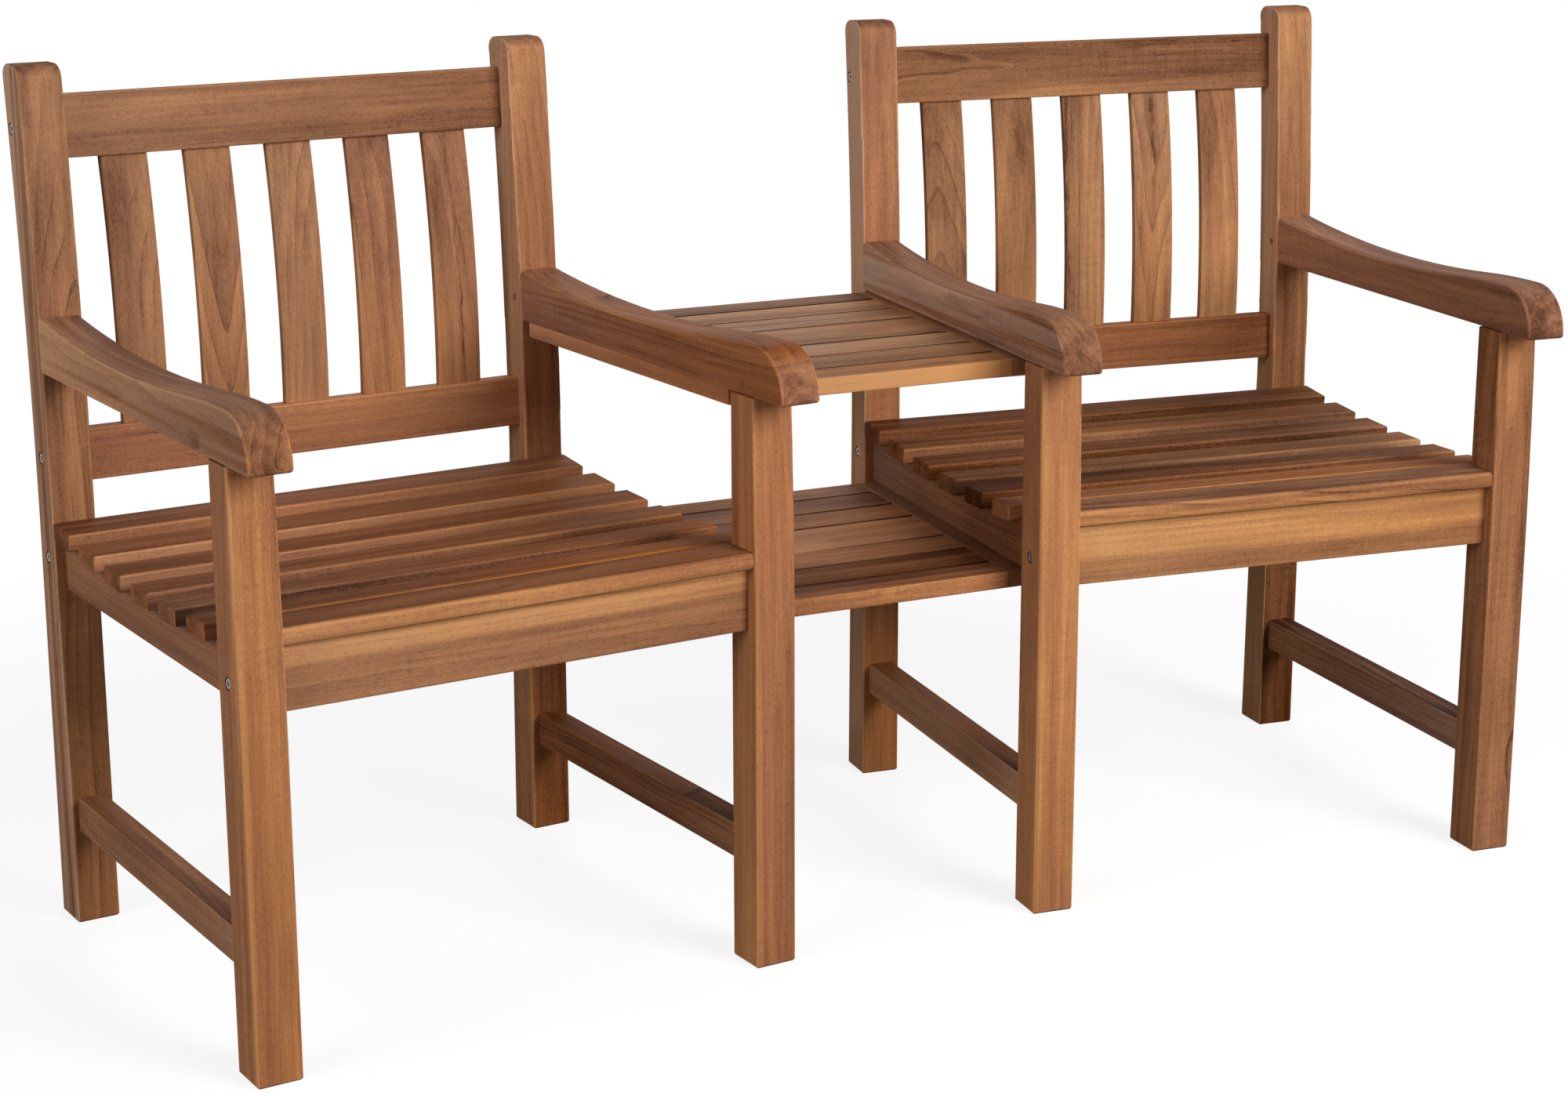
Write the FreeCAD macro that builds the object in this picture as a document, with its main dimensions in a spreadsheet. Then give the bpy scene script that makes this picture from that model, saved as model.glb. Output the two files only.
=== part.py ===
import FreeCAD, Part
import math
import os
from types import SimpleNamespace

import Sketcher

# A two seat companion bench in hardwood. Two slatted armchairs stand either side of a table
# with two tiers and are turned a little towards each other. X runs along the bench, the
# sitters face -Y and Z is up. The origin is on the floor, under the middle of the bench.

os.makedirs("parts", exist_ok=True)
doc = FreeCAD.newDocument("CompanionBench")
vector = FreeCAD.Vector

# Driving dimensions in millimetres and degrees. A chair's depths are measured backwards from
# the front face of its front legs, its widths from its middle and all heights from the floor.
drivingSizes = {
    # layout of the bench
    "chairOffset": 442.0,
    "chairYaw": 5.85,
    "depthShift": -259.9,
    # chair frame
    "chairWidth": 600.0,
    "legWidth": 47.0,
    "easedEdge": 3.0,
    "footChamfer": 2.0,
    "legDepth": 49.0,
    "legTopSetback": 6.0,
    "legCurveStart": 330.0,
    "legTenonFront": 16.0,
    "legTenonBack": 38.0,
    "legTenonWidth": 18.0,
    "legTenonHeight": 26.0,
    "postFront": 500.0,
    "postFootDepth": 49.0,
    "postSeatDepth": 43.5,
    "postRakeStart": 440.0,
    "postHeight": 916.0,
    "postFrontRake": 22.0,
    "postBackRake": 27.5,
    "postTopFrontRound": 17.0,
    "postTopBackRound": 13.0,
    # arms
    "armWidth": 45.0,
    "armEdge": 4.0,
    "armBottom": 603.0,
    "armNoseDepth": 3.0,
    "armNoseRadius": 50.0,
    "armNoseCentre": 607.0,
    "armToe": 4.0,
    "armCrestEnd": 100.0,
    "armCrestRadius": 1105.0,
    "armDipRadius": 1880.0,
    "armHousing": 2.0,
    "armTenonLength": 28.0,
    "armTenonBottom": 614.0,
    "armTenonTop": 644.0,
    "armTenonWidth": 18.0,
    # seat frame
    "stubTenon": 8.0,
    "railShoulder": 5.0,
    "railEdge": 2.5,
    "frontRailMiddle": 26.5,
    "frontRailBottom": 362.0,
    "frontRailTop": 428.0,
    "rearRailMiddle": 522.0,
    "rearRailBottom": 373.0,
    "rearRailTop": 435.0,
    "seatRailDepth": 22.0,
    "sideRailInset": 12.0,
    "sideRailWidth": 22.0,
    "sideRailBottom": 371.5,
    "sideTenonLength": 16.0,
    "sideTenonWidth": 12.0,
    "sideTenonBottom": 379.0,
    "sideTenonTop": 411.0,
    "stretcherWidth": 30.0,
    "stretcherBottom": 103.0,
    "stretcherTop": 141.0,
    "stretcherShoulder": 6.0,
    # dished seat
    "seatLow": 433.5,
    "seatLowDepth": 255.0,
    "seatDishRadius": 2200.0,
    "slatThickness": 18.0,
    "slatWidth": 46.0,
    "slatEdge": 3.0,
    "slatPitch": 74.4,
    "firstSlat": 102.0,
    "frontSlatFront": 4.0,
    "frontSlatBack": 58.0,
    "frontSlatTop": 446.0,
    # back
    "topRailDepth": 20.0,
    "topRailMiddle": 552.0,
    "topRailCentre": 850.0,
    "topRailHeight": 66.0,
    "topRailTilt": 4.5,
    "lowerRailDepth": 22.0,
    "lowerRailMiddle": 524.5,
    "lowerRailCentre": 510.0,
    "lowerRailHeight": 55.0,
    "lowerRailTilt": 2.0,
    "backSlatWidth": 51.0,
    "backSlatThickness": 10.0,
    "backSlatEdge": 1.2,
    "backSlatPitch": 92.0,
    "backSlatBottom": 527.0,
    "backSlatTop": 828.0,
    "backSlatLowFront": 521.5,
    "backSlatHighFront": 548.0,
    "backSlatRadius": 1250.0,
    # table
    "tableFront": 91.5,
    "tableRailNear": 261.0,
    "tableRailFar": 309.5,
    "tableThickness": 18.0,
    "tableEdge": 1.5,
    "upperTierTop": 603.0,
    "lowerTierTop": 371.5,
    "edgeSlat": 45.0,
    "innerSlat": 56.5,
    "middleSlat": 89.0,
    "tableGap": 4.5,
    "tongueLength": 12.0,
    "tongueThickness": 8.0,
    # fasteners
    "boltHead": 11.5,
    "boltHeadHeight": 3.0,
    "boltShank": 6.0,
    "boltLength": 81.0,
    "socketAcross": 5.0,
    "socketDepth": 2.2,
    "headSink": 2.2,
    "boreDiameter": 6.6,
    "counterbore": 13.0,
    "nutDiameter": 10.0,
    "nutLength": 16.0,
    "nutFromShoulder": 25.0,
    "pegDiameter": 8.0,
    "pegLength": 32.0,
    "legPegDepth": 28.0,
    "legPegHeight": 613.0,
    "postPegDepth": 518.0,
    "postPegHeight": 629.0,
    "dowelDiameter": 8.0,
    "dowelInRail": 15.0,
    "dowelInSlat": 10.0,
    "frontDowelSpread": 180.0,
    "screwHead": 8.0,
    "screwHeadHeight": 2.5,
    "screwShank": 4.0,
    "screwLength": 38.0,
    "firstScrew": 95.0,
    "screwPitch": 180.0,
}

slatsPerSeat = 6
slatsPerBack = 5
screwsPerRail = 3

sheet = doc.addObject("Spreadsheet::Sheet", "Dimensions")
for row, (alias, number) in enumerate(drivingSizes.items(), start=1):
    sheet.set(f"A{row}", alias)
    sheet.set(f"B{row}", str(number))
    sheet.setAlias(f"B{row}", alias)
doc.recompute()


class Size:
    # A number together with the sheet formula that gives it, so that the same arithmetic
    # places the first geometry of a sketch and ties its constraints to the sheet.

    def __init__(self, number, formula):
        self.number = number
        self.formula = formula

    def __add__(self, other):
        other = asSize(other)
        return Size(self.number + other.number, f"({self.formula} + {other.formula})")

    def __sub__(self, other):
        other = asSize(other)
        return Size(self.number - other.number, f"({self.formula} - {other.formula})")

    def __mul__(self, other):
        other = asSize(other)
        return Size(self.number * other.number, f"({self.formula} * {other.formula})")

    def __truediv__(self, other):
        other = asSize(other)
        return Size(self.number / other.number, f"({self.formula} / {other.formula})")

    def __neg__(self):
        return self * -1


def asSize(thing):
    if isinstance(thing, Size):
        return thing
    return Size(float(thing), f"({float(thing)})")


def root(size):
    return Size(math.sqrt(size.number), f"sqrt({size.formula})")


def sine(size):
    return Size(math.sin(math.radians(size.number)), f"sin({size.formula})")


def cosine(size):
    return Size(math.cos(math.radians(size.number)), f"cos({size.formula})")


def tangent(size):
    return Size(math.tan(math.radians(size.number)), f"tan({size.formula})")


def arcSine(size):
    return Size(math.degrees(math.asin(size.number)), f"asin({size.formula})")


def arcDrop(radius, run):
    # How far an arc of this radius falls away from its tangent over a run
    return radius - root(radius * radius - run * run)


def bind(thing, path, size):
    thing.setExpression(path, asSize(size).formula)


size = SimpleNamespace(
    **{alias: Size(number, f"Dimensions.{alias}") for alias, number in drivingSizes.items()}
)
halfWidth = size.chairWidth / 2
legCentre = halfWidth - size.legWidth / 2
innerWidth = size.chairWidth - size.legWidth * 2
sideRailCentre = halfWidth - size.sideRailInset - size.sideRailWidth / 2
armCentre = halfWidth - size.armWidth / 2


def aboutAxis(axis, degrees):
    # A turn whose angle is then tied to the sheet, so its sign goes into the axis
    direction = 1 if degrees.number >= 0 else -1
    return FreeCAD.Rotation(axis * direction, 1), degrees * direction


def place(thing, across=0, depth=0, height=0, axis=vector(0, 0, 1), degrees=Size(0.0, "0"),
          path="Placement"):
    rotation, angle = aboutAxis(axis, degrees)
    setattr(thing, path, FreeCAD.Placement(vector(0, 0, 0), rotation))
    bind(thing, f"{path}.Base.x", across)
    bind(thing, f"{path}.Base.y", depth)
    bind(thing, f"{path}.Base.z", height)
    bind(thing, f"{path}.Rotation.Angle", angle)


def placeInFrame(thing, chair):
    # A chair's own frame starts at the middle of its front; the table keeps the bench's
    if chair is None:
        place(thing, depth=size.depthShift)
    else:
        place(thing, size.chairOffset * chair.side, size.depthShift,
              degrees=size.chairYaw * -chair.side)


def newBody(name, chair=None, inFrame=True):
    body = doc.addObject("PartDesign::Body", name)
    body.Label = name
    if inFrame:
        placeInFrame(body, chair)
    return body


def newSketch(body, role, name):
    plane = [feature for feature in body.Origin.OriginFeatures if feature.Role == role]
    sketch = body.newObject("Sketcher::SketchObject", name)
    sketch.AttachmentSupport = [(plane[0], "")]
    sketch.MapMode = "FlatFace"
    return sketch


def moveSketch(sketch, across=0, up=0, out=0, degrees=Size(0.0, "0")):
    # Moves the sketch in its own plane and off it, and turns it where it lies
    place(sketch, across, up, out, degrees=degrees, path="AttachmentOffset")
    return sketch


class Outline:
    # A closed outline in a sketch, walked from corner to corner. Every corner is held by its
    # two distances from the sketch's origin and every arc by its radius.

    def __init__(self, sketch, across, up):
        self.sketch = sketch
        self.corners = [(asSize(across), asSize(up))]
        self.arcs = []

    def line(self, across, up):
        self.corners.append((asSize(across), asSize(up)))
        self.arcs.append(None)
        return self

    def arc(self, across, up, radius, turn):
        # turn is 1 where the walk bends to the left and -1 where it bends to the right
        self.corners.append((asSize(across), asSize(up)))
        self.arcs.append((asSize(radius), turn))
        return self

    def close(self):
        # The walk ends with a straight side unless it has already come back to its start
        if (self.point(-1) - self.point(0)).Length > 0.001:
            self.arcs.append(None)
        else:
            self.corners.pop()
        sides = []
        for index, arc in enumerate(self.arcs):
            sides.append(self.addSide(self.point(index), self.point(index + 1), arc))
        for index, (across, up) in enumerate(self.corners):
            geometry, start, _ = sides[index]
            previous, _, end = sides[index - 1]
            joint = Sketcher.Constraint("Coincident", previous, end, geometry, start)
            self.sketch.addConstraint(joint)
            self.hold("DistanceX", f"across{index}", (-1, 1, geometry, start), across)
            self.hold("DistanceY", f"up{index}", (-1, 1, geometry, start), up)
        return self.sketch

    def point(self, index):
        across, up = self.corners[index % len(self.corners)]
        return vector(across.number, up.number, 0)

    def addSide(self, start, end, arc):
        if arc is None:
            return self.sketch.addGeometry(Part.LineSegment(start, end), False), 1, 2
        radius, turn = arc
        chord = end - start
        reach = math.sqrt(radius.number**2 - (chord.Length / 2) ** 2)
        normal = vector(-chord.y, chord.x, 0).normalize()
        centre = (start + end) * 0.5 + normal * (reach * turn)
        circle = Part.Circle(centre, vector(0, 0, 1), radius.number)
        ends = (start, end) if turn > 0 else (end, start)
        angles = [math.atan2(spot.y - centre.y, spot.x - centre.x) for spot in ends]
        geometry = self.sketch.addGeometry(Part.ArcOfCircle(circle, *angles), False)
        self.hold("Radius", f"radius{geometry}", (geometry,), radius)
        return (geometry, 1, 2) if turn > 0 else (geometry, 2, 1)

    def hold(self, kind, name, places, value):
        number = self.sketch.addConstraint(Sketcher.Constraint(kind, *places, value.number))
        self.sketch.renameConstraint(number, name)
        bind(self.sketch, f"Constraints.{name}", value)


def rectangle(sketch, left, bottom, right, top):
    return Outline(sketch, left, bottom).line(right, bottom).line(right, top).line(left, top).close()


def disc(sketch, diameter):
    circle = Part.Circle(vector(0, 0, 0), vector(0, 0, 1), diameter.number / 2)
    sketch.addGeometry(circle, False)
    sketch.addConstraint(Sketcher.Constraint("Coincident", 0, 3, -1, 1))
    number = sketch.addConstraint(Sketcher.Constraint("Diameter", 0, diameter.number))
    sketch.renameConstraint(number, "diameter")
    bind(sketch, "Constraints.diameter", diameter)
    return sketch


def pad(body, sketch, length, oneSided=False, backwards=False):
    feature = body.newObject("PartDesign::Pad", f"{sketch.Name}Pad")
    feature.Profile = sketch
    feature.SideType = "One side" if oneSided else "Symmetric"
    feature.Reversed = backwards
    bind(feature, "Length", length)
    doc.recompute()
    return feature


def revolve(body, sketch, axis):
    feature = body.newObject("PartDesign::Revolution", f"{sketch.Name}Turned")
    feature.Profile = sketch
    feature.ReferenceAxis = (sketch, [axis])
    feature.Angle = 360
    doc.recompute()
    return feature


def easeEdges(body, kind, name, amount, wanted):
    # Rounds or chamfers those edges of the body so far that the test picks
    tip = body.Tip
    edges = [f"Edge{number}" for number, edge in enumerate(tip.Shape.Edges, start=1) if wanted(edge)]
    feature = body.newObject(f"PartDesign::{kind}", name)
    feature.Base = (tip, edges)
    bind(feature, "Radius" if kind == "Fillet" else "Size", amount)
    doc.recompute()
    return feature


def onCheeks(centre, width):
    # Picks the edges that lie in either side face of a piece cut from a board
    def wanted(edge):
        box = edge.BoundBox
        fromFace = abs(abs(box.Center.x - asSize(centre).number) - width.number / 2)
        return box.XLength < 0.01 and fromFace < 0.01

    return wanted


def acrossChair(edge):
    return edge.BoundBox.XLength > edge.Length - 0.01


def cut(name, blank, tools):
    # The blank less the room taken by the pieces that enter it
    entering = doc.addObject("Part::MultiFuse", f"{name}_entering")
    entering.Shapes = tools
    piece = doc.addObject("Part::Cut", name)
    piece.Label = name
    piece.Base = blank
    piece.Tool = entering
    piece.Refine = True
    doc.recompute()
    return piece


def gather(name, chair, spots):
    # Copies of modelled pieces, set at their spots and kept together as one node
    links = []
    for number, (model, settings) in enumerate(spots, start=1):
        link = doc.addObject("App::Link", f"{name}_{number}")
        link.LinkedObject = model
        place(link, **settings)
        links.append(link)
    group = doc.addObject("Part::Compound", name)
    group.Label = name
    group.Links = links
    placeInFrame(group, chair)
    doc.recompute()
    return group


# Legs, posts and arms

def frontLeg(name, chair, centre):
    # Square leg whose front face sweeps back above the seat, with a tenon for the arm
    body = newBody(f"{name}_blank", chair)
    profile = moveSketch(newSketch(body, "YZ_Plane", f"{name}_profile"), out=centre)
    rise = size.armBottom - size.legCurveStart
    radius = (rise * rise + size.legTopSetback * size.legTopSetback) / (size.legTopSetback * 2)
    outline = Outline(profile, 0, 0)
    outline.line(size.legDepth, 0)
    outline.line(size.legDepth, size.armBottom)
    outline.line(size.legTopSetback, size.armBottom)
    outline.arc(0, size.legCurveStart, radius, 1)
    pad(body, outline.close(), size.legWidth)
    cheeks = onCheeks(centre, size.legWidth)
    easeEdges(body, "Fillet", f"{name}_eased", size.easedEdge,
              lambda edge: cheeks(edge) and edge.BoundBox.ZLength > size.legDepth.number)
    easeEdges(body, "Chamfer", f"{name}_foot", size.footChamfer,
              lambda edge: edge.BoundBox.ZMax < 0.01)
    tenon = moveSketch(newSketch(body, "YZ_Plane", f"{name}_tenon"), out=centre)
    rectangle(tenon, size.legTenonFront, size.armBottom - size.railShoulder,
              size.legTenonBack, size.armBottom + size.legTenonHeight)
    pad(body, tenon, size.legTenonWidth)
    return body


def postFace(height, front):
    # Depth of the post's front or back face at a height above the start of its rake
    rise = size.postHeight - size.postRakeStart
    rake = size.postFrontRake if front else size.postBackRake
    radius = (rise * rise + rake * rake) / (rake * 2)
    foot = size.postFront if front else size.postFront + size.postSeatDepth
    return foot + arcDrop(radius, height - size.postRakeStart), radius


def backPost(name, chair, centre):
    # Back leg and post in one piece: upright to the seat, then raked back in a long curve
    body = newBody(f"{name}_blank", chair)
    profile = moveSketch(newSketch(body, "YZ_Plane", f"{name}_profile"), out=centre)
    frontTop, frontRadius = postFace(size.postHeight, True)
    backTop, backRadius = postFace(size.postHeight, False)
    outline = Outline(profile, size.postFront, 0)
    outline.line(size.postFront + size.postFootDepth, 0)
    outline.line(size.postFront + size.postSeatDepth, size.postRakeStart)
    outline.arc(backTop, size.postHeight, backRadius, -1)
    outline.line(frontTop, size.postHeight)
    outline.arc(size.postFront, size.postRakeStart, frontRadius, 1)
    pad(body, outline.close(), size.legWidth)
    middle = (frontTop.number + backTop.number) / 2

    def topEdge(edge):
        return edge.BoundBox.ZMin > size.postHeight.number - 1 and acrossChair(edge)

    easeEdges(body, "Fillet", f"{name}_brow", size.postTopFrontRound,
              lambda edge: topEdge(edge) and edge.BoundBox.YMax < middle)
    easeEdges(body, "Fillet", f"{name}_nape", size.postTopBackRound,
              lambda edge: topEdge(edge) and edge.BoundBox.YMin > middle)
    cheeks = onCheeks(centre, size.legWidth)
    easeEdges(body, "Fillet", f"{name}_eased", size.easedEdge,
              lambda edge: cheeks(edge) and edge.BoundBox.ZMax > 1)
    easeEdges(body, "Chamfer", f"{name}_foot", size.footChamfer,
              lambda edge: edge.BoundBox.ZMax < 0.01)
    return body


def arm(name, chair, centre):
    # Arm shaped from one thick board: a rounded nose over the leg, a low crest, then a long
    # dip that rises again to the post, which houses its end and takes its tenon
    body = newBody(f"{name}_blank", chair)
    profile = moveSketch(newSketch(body, "YZ_Plane", f"{name}_profile"), out=centre)
    noseTop = size.armNoseCentre + size.armNoseRadius
    noseFront = size.armNoseDepth - size.armNoseRadius
    crestRun = size.armCrestEnd - size.armNoseDepth
    crestHeight = noseTop - arcDrop(size.armCrestRadius, crestRun)
    crestReach = root(size.armCrestRadius * size.armCrestRadius - crestRun * crestRun)
    dipShare = size.armDipRadius / size.armCrestRadius
    dipDepth = size.armCrestEnd + crestRun * dipShare
    dipCentre = crestHeight + crestReach * dipShare
    heel = postFace(size.armBottom, True)[0] + size.armHousing
    shoulder = postFace(noseTop, True)[0] + size.armHousing
    rise = shoulder - dipDepth
    rearTop = dipCentre - root(size.armDipRadius * size.armDipRadius - rise * rise)
    outline = Outline(profile, noseFront + size.armToe, size.armBottom)
    outline.line(heel, size.armBottom)
    outline.line(shoulder, rearTop)
    outline.arc(size.armCrestEnd, crestHeight, size.armDipRadius, -1)
    outline.arc(size.armNoseDepth, noseTop, size.armCrestRadius, 1)
    outline.arc(noseFront, size.armBottom + size.armToe, size.armNoseRadius, 1)
    outline.arc(noseFront + size.armToe, size.armBottom, size.armToe, 1)
    pad(body, outline.close(), size.armWidth)
    cheeks = onCheeks(centre, size.armWidth)
    easeEdges(body, "Fillet", f"{name}_eased", size.armEdge,
              lambda edge: cheeks(edge) and edge.BoundBox.YMin < heel.number - 1)
    tenon = moveSketch(newSketch(body, "YZ_Plane", f"{name}_tenon"), out=centre)
    rectangle(tenon, heel - size.railShoulder, size.armTenonBottom,
              heel + size.armTenonLength, size.armTenonTop)
    pad(body, tenon, size.armTenonWidth)
    return body


# Rails and stretchers

def crossRail(name, chair, middle, centre, depth, height, lean):
    # Rail across the chair between two uprights, with a stub tenon at each end
    body = newBody(f"{name}_blank", chair)
    section = newSketch(body, "YZ_Plane", f"{name}_section")
    moveSketch(section, middle, centre, degrees=-lean)
    rectangle(section, -depth / 2, -height / 2, depth / 2, height / 2)
    pad(body, section, innerWidth)
    easeEdges(body, "Fillet", f"{name}_eased", size.railEdge, acrossChair)
    stub = newSketch(body, "YZ_Plane", f"{name}_stub")
    moveSketch(stub, middle, centre, degrees=-lean)
    stubDepth = depth / 2 - size.railShoulder
    stubHeight = height / 2 - size.railShoulder
    rectangle(stub, -stubDepth, -stubHeight, stubDepth, stubHeight)
    pad(body, stub, innerWidth + size.stubTenon * 2)
    return body


def railUnderSlats():
    # Radius of a dished rail top that the edges of the flat slats rest on
    reach = size.seatDishRadius + size.slatThickness
    return root(reach * reach + size.slatWidth * size.slatWidth / 4)


def sideRail(name, chair, centre):
    # Seat rail from leg to post, its top dished to carry the slats
    body = newBody(f"{name}_blank", chair)
    profile = moveSketch(newSketch(body, "YZ_Plane", f"{name}_profile"), out=centre)
    radius = railUnderSlats()
    dishCentre = size.seatLow + size.seatDishRadius
    frontRun = size.seatLowDepth - size.legDepth
    backRun = size.postFront - size.seatLowDepth
    frontTop = dishCentre - root(radius * radius - frontRun * frontRun)
    backTop = dishCentre - root(radius * radius - backRun * backRun)
    outline = Outline(profile, size.legDepth, size.sideRailBottom)
    outline.line(size.postFront, size.sideRailBottom)
    outline.line(size.postFront, backTop)
    outline.arc(size.legDepth, frontTop, radius, -1)
    pad(body, outline.close(), size.sideRailWidth)
    cheeks = onCheeks(centre, size.sideRailWidth)
    easeEdges(body, "Fillet", f"{name}_eased", size.railEdge,
              lambda edge: cheeks(edge) and edge.BoundBox.YLength > size.slatWidth.number)
    tenon = moveSketch(newSketch(body, "YZ_Plane", f"{name}_tenon"), out=centre)
    rectangle(tenon, size.legDepth - size.sideTenonLength, size.sideTenonBottom,
              size.postFront + size.sideTenonLength, size.sideTenonTop)
    pad(body, tenon, size.sideTenonWidth)
    return body


def stretcher(name, chair, centre):
    # Low rail from leg to post
    body = newBody(f"{name}_blank", chair)
    section = moveSketch(newSketch(body, "YZ_Plane", f"{name}_profile"), out=centre)
    rectangle(section, size.legDepth, size.stretcherBottom, size.postFront, size.stretcherTop)
    pad(body, section, size.stretcherWidth)
    easeEdges(body, "Fillet", f"{name}_eased", size.railEdge,
              lambda edge: edge.BoundBox.YLength > size.slatWidth.number)
    tenon = moveSketch(newSketch(body, "YZ_Plane", f"{name}_tenon"), out=centre)
    rectangle(tenon, size.legDepth - size.sideTenonLength,
              size.stretcherBottom + size.stretcherShoulder,
              size.postFront + size.sideTenonLength,
              size.stretcherTop - size.stretcherShoulder)
    pad(body, tenon, size.stretcherWidth - size.stretcherShoulder * 2)
    return body


# Slats

def seatSpot(number):
    # Depth, height and lean of a slat's top on the dish of the seat
    depth = size.firstSlat + size.slatPitch * (number - 1)
    run = depth - size.seatLowDepth
    return depth, size.seatLow + arcDrop(size.seatDishRadius, run), arcSine(run / size.seatDishRadius)


def seatSlat(name, chair, number):
    body = newBody(f"{name}_blank", chair)
    section = newSketch(body, "YZ_Plane", f"{name}_section")
    depth, height, lean = seatSpot(number)
    moveSketch(section, depth, height, degrees=lean)
    rectangle(section, -size.slatWidth / 2, -size.slatThickness, size.slatWidth / 2, 0)
    pad(body, section, size.chairWidth)
    bottom = body.Tip.Shape.BoundBox.ZMin + size.slatThickness.number / 2
    easeEdges(body, "Fillet", f"{name}_eased", size.slatEdge,
              lambda edge: acrossChair(edge) or edge.BoundBox.ZMin > bottom)
    return body


def frontSlat(name, chair):
    # Rounded slat that closes the front of the seat between the legs
    body = newBody(f"{name}_blank", chair)
    section = newSketch(body, "YZ_Plane", f"{name}_section")
    rectangle(section, size.frontSlatFront, size.frontRailTop,
              size.frontSlatBack, size.frontSlatTop)
    pad(body, section, innerWidth)
    middle = size.frontRailMiddle.number
    easeEdges(body, "Fillet", f"{name}_front", size.slatEdge * 2,
              lambda edge: acrossChair(edge) and edge.BoundBox.YMax < middle)
    easeEdges(body, "Fillet", f"{name}_back", size.slatEdge,
              lambda edge: acrossChair(edge) and edge.BoundBox.YMin > middle * 2)
    return body


def backSlat():
    # One slat of the back, bowed forwards, with its full section let into both rails
    body = newBody("back_slat", inFrame=False)
    profile = newSketch(body, "YZ_Plane", "back_slat_profile")
    outline = Outline(profile, size.backSlatLowFront, size.backSlatBottom)
    outline.line(size.backSlatLowFront + size.backSlatThickness, size.backSlatBottom)
    outline.arc(size.backSlatHighFront + size.backSlatThickness, size.backSlatTop,
                size.backSlatRadius, -1)
    outline.line(size.backSlatHighFront, size.backSlatTop)
    outline.arc(size.backSlatLowFront, size.backSlatBottom, size.backSlatRadius, 1)
    pad(body, outline.close(), size.backSlatWidth)
    cheeks = onCheeks(0, size.backSlatWidth)
    easeEdges(body, "Chamfer", "back_slat_eased", size.backSlatEdge,
              lambda edge: cheeks(edge) and edge.BoundBox.ZLength > size.slatWidth.number)
    return body


# Table

def tableHalfSpan(depth):
    # Half the clear width between the table's side rails, which follow the two chairs
    return (size.chairOffset - size.tableRailFar / cosine(size.chairYaw)
            + depth * tangent(size.chairYaw))


def tableSlat(name, front, width):
    # Slat of a table tier with splayed ends and a tongue at each end
    body = newBody(name, inFrame=False)
    back = front + width
    top = newSketch(body, "XY_Plane", f"{name}_top")
    outline = Outline(top, -tableHalfSpan(front), front)
    outline.line(tableHalfSpan(front), front)
    outline.line(tableHalfSpan(back), back)
    outline.line(-tableHalfSpan(back), back)
    pad(body, outline.close(), size.tableThickness, oneSided=True, backwards=True)
    easeEdges(body, "Fillet", f"{name}_eased", size.tableEdge, acrossChair)
    tongue = newSketch(body, "XY_Plane", f"{name}_tongue")
    moveSketch(tongue, out=(size.tongueThickness - size.tableThickness) / 2)
    front = front + size.railShoulder
    back = back - size.railShoulder
    outline = Outline(tongue, -tableHalfSpan(front) - size.tongueLength, front)
    outline.line(tableHalfSpan(front) + size.tongueLength, front)
    outline.line(tableHalfSpan(back) + size.tongueLength, back)
    outline.line(-tableHalfSpan(back) - size.tongueLength, back)
    pad(body, outline.close(), size.tongueThickness, oneSided=True, backwards=True)
    return body


def tableSlats():
    # A wide middle slat between narrower ones, from the front of the table to its back
    widths = [size.edgeSlat, size.innerSlat, size.innerSlat, size.middleSlat,
              size.innerSlat, size.innerSlat, size.edgeSlat]
    slats = []
    front = size.tableFront
    for number, width in enumerate(widths, start=1):
        slats.append(tableSlat(f"table_slat_{number}", front, width))
        front = front + width + size.tableGap
    return slats, front - size.tableGap


def tableRail(name, chair, top, tableBack):
    # Side rail of a tier under the chair's arm or seat rail, its ends square to the bench
    body = newBody(f"{name}_blank", chair)
    plan = moveSketch(newSketch(body, "XY_Plane", f"{name}_plan"), out=top)

    def depthAt(across, depth):
        return (depth - across * sine(size.chairYaw)) / cosine(size.chairYaw)

    near = size.tableRailNear
    far = size.tableRailFar
    inward = -chair.side
    outline = Outline(plan, near * inward, depthAt(near, size.tableFront))
    outline.line(far * inward, depthAt(far, size.tableFront))
    outline.line(far * inward, depthAt(far, tableBack))
    outline.line(near * inward, depthAt(near, tableBack))
    pad(body, outline.close(), size.tableThickness, oneSided=True, backwards=True)
    easeEdges(body, "Fillet", f"{name}_eased", size.tableEdge,
              lambda edge: edge.BoundBox.ZLength < 0.01)
    return body


# Fasteners, each modelled once in its own frame

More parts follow.
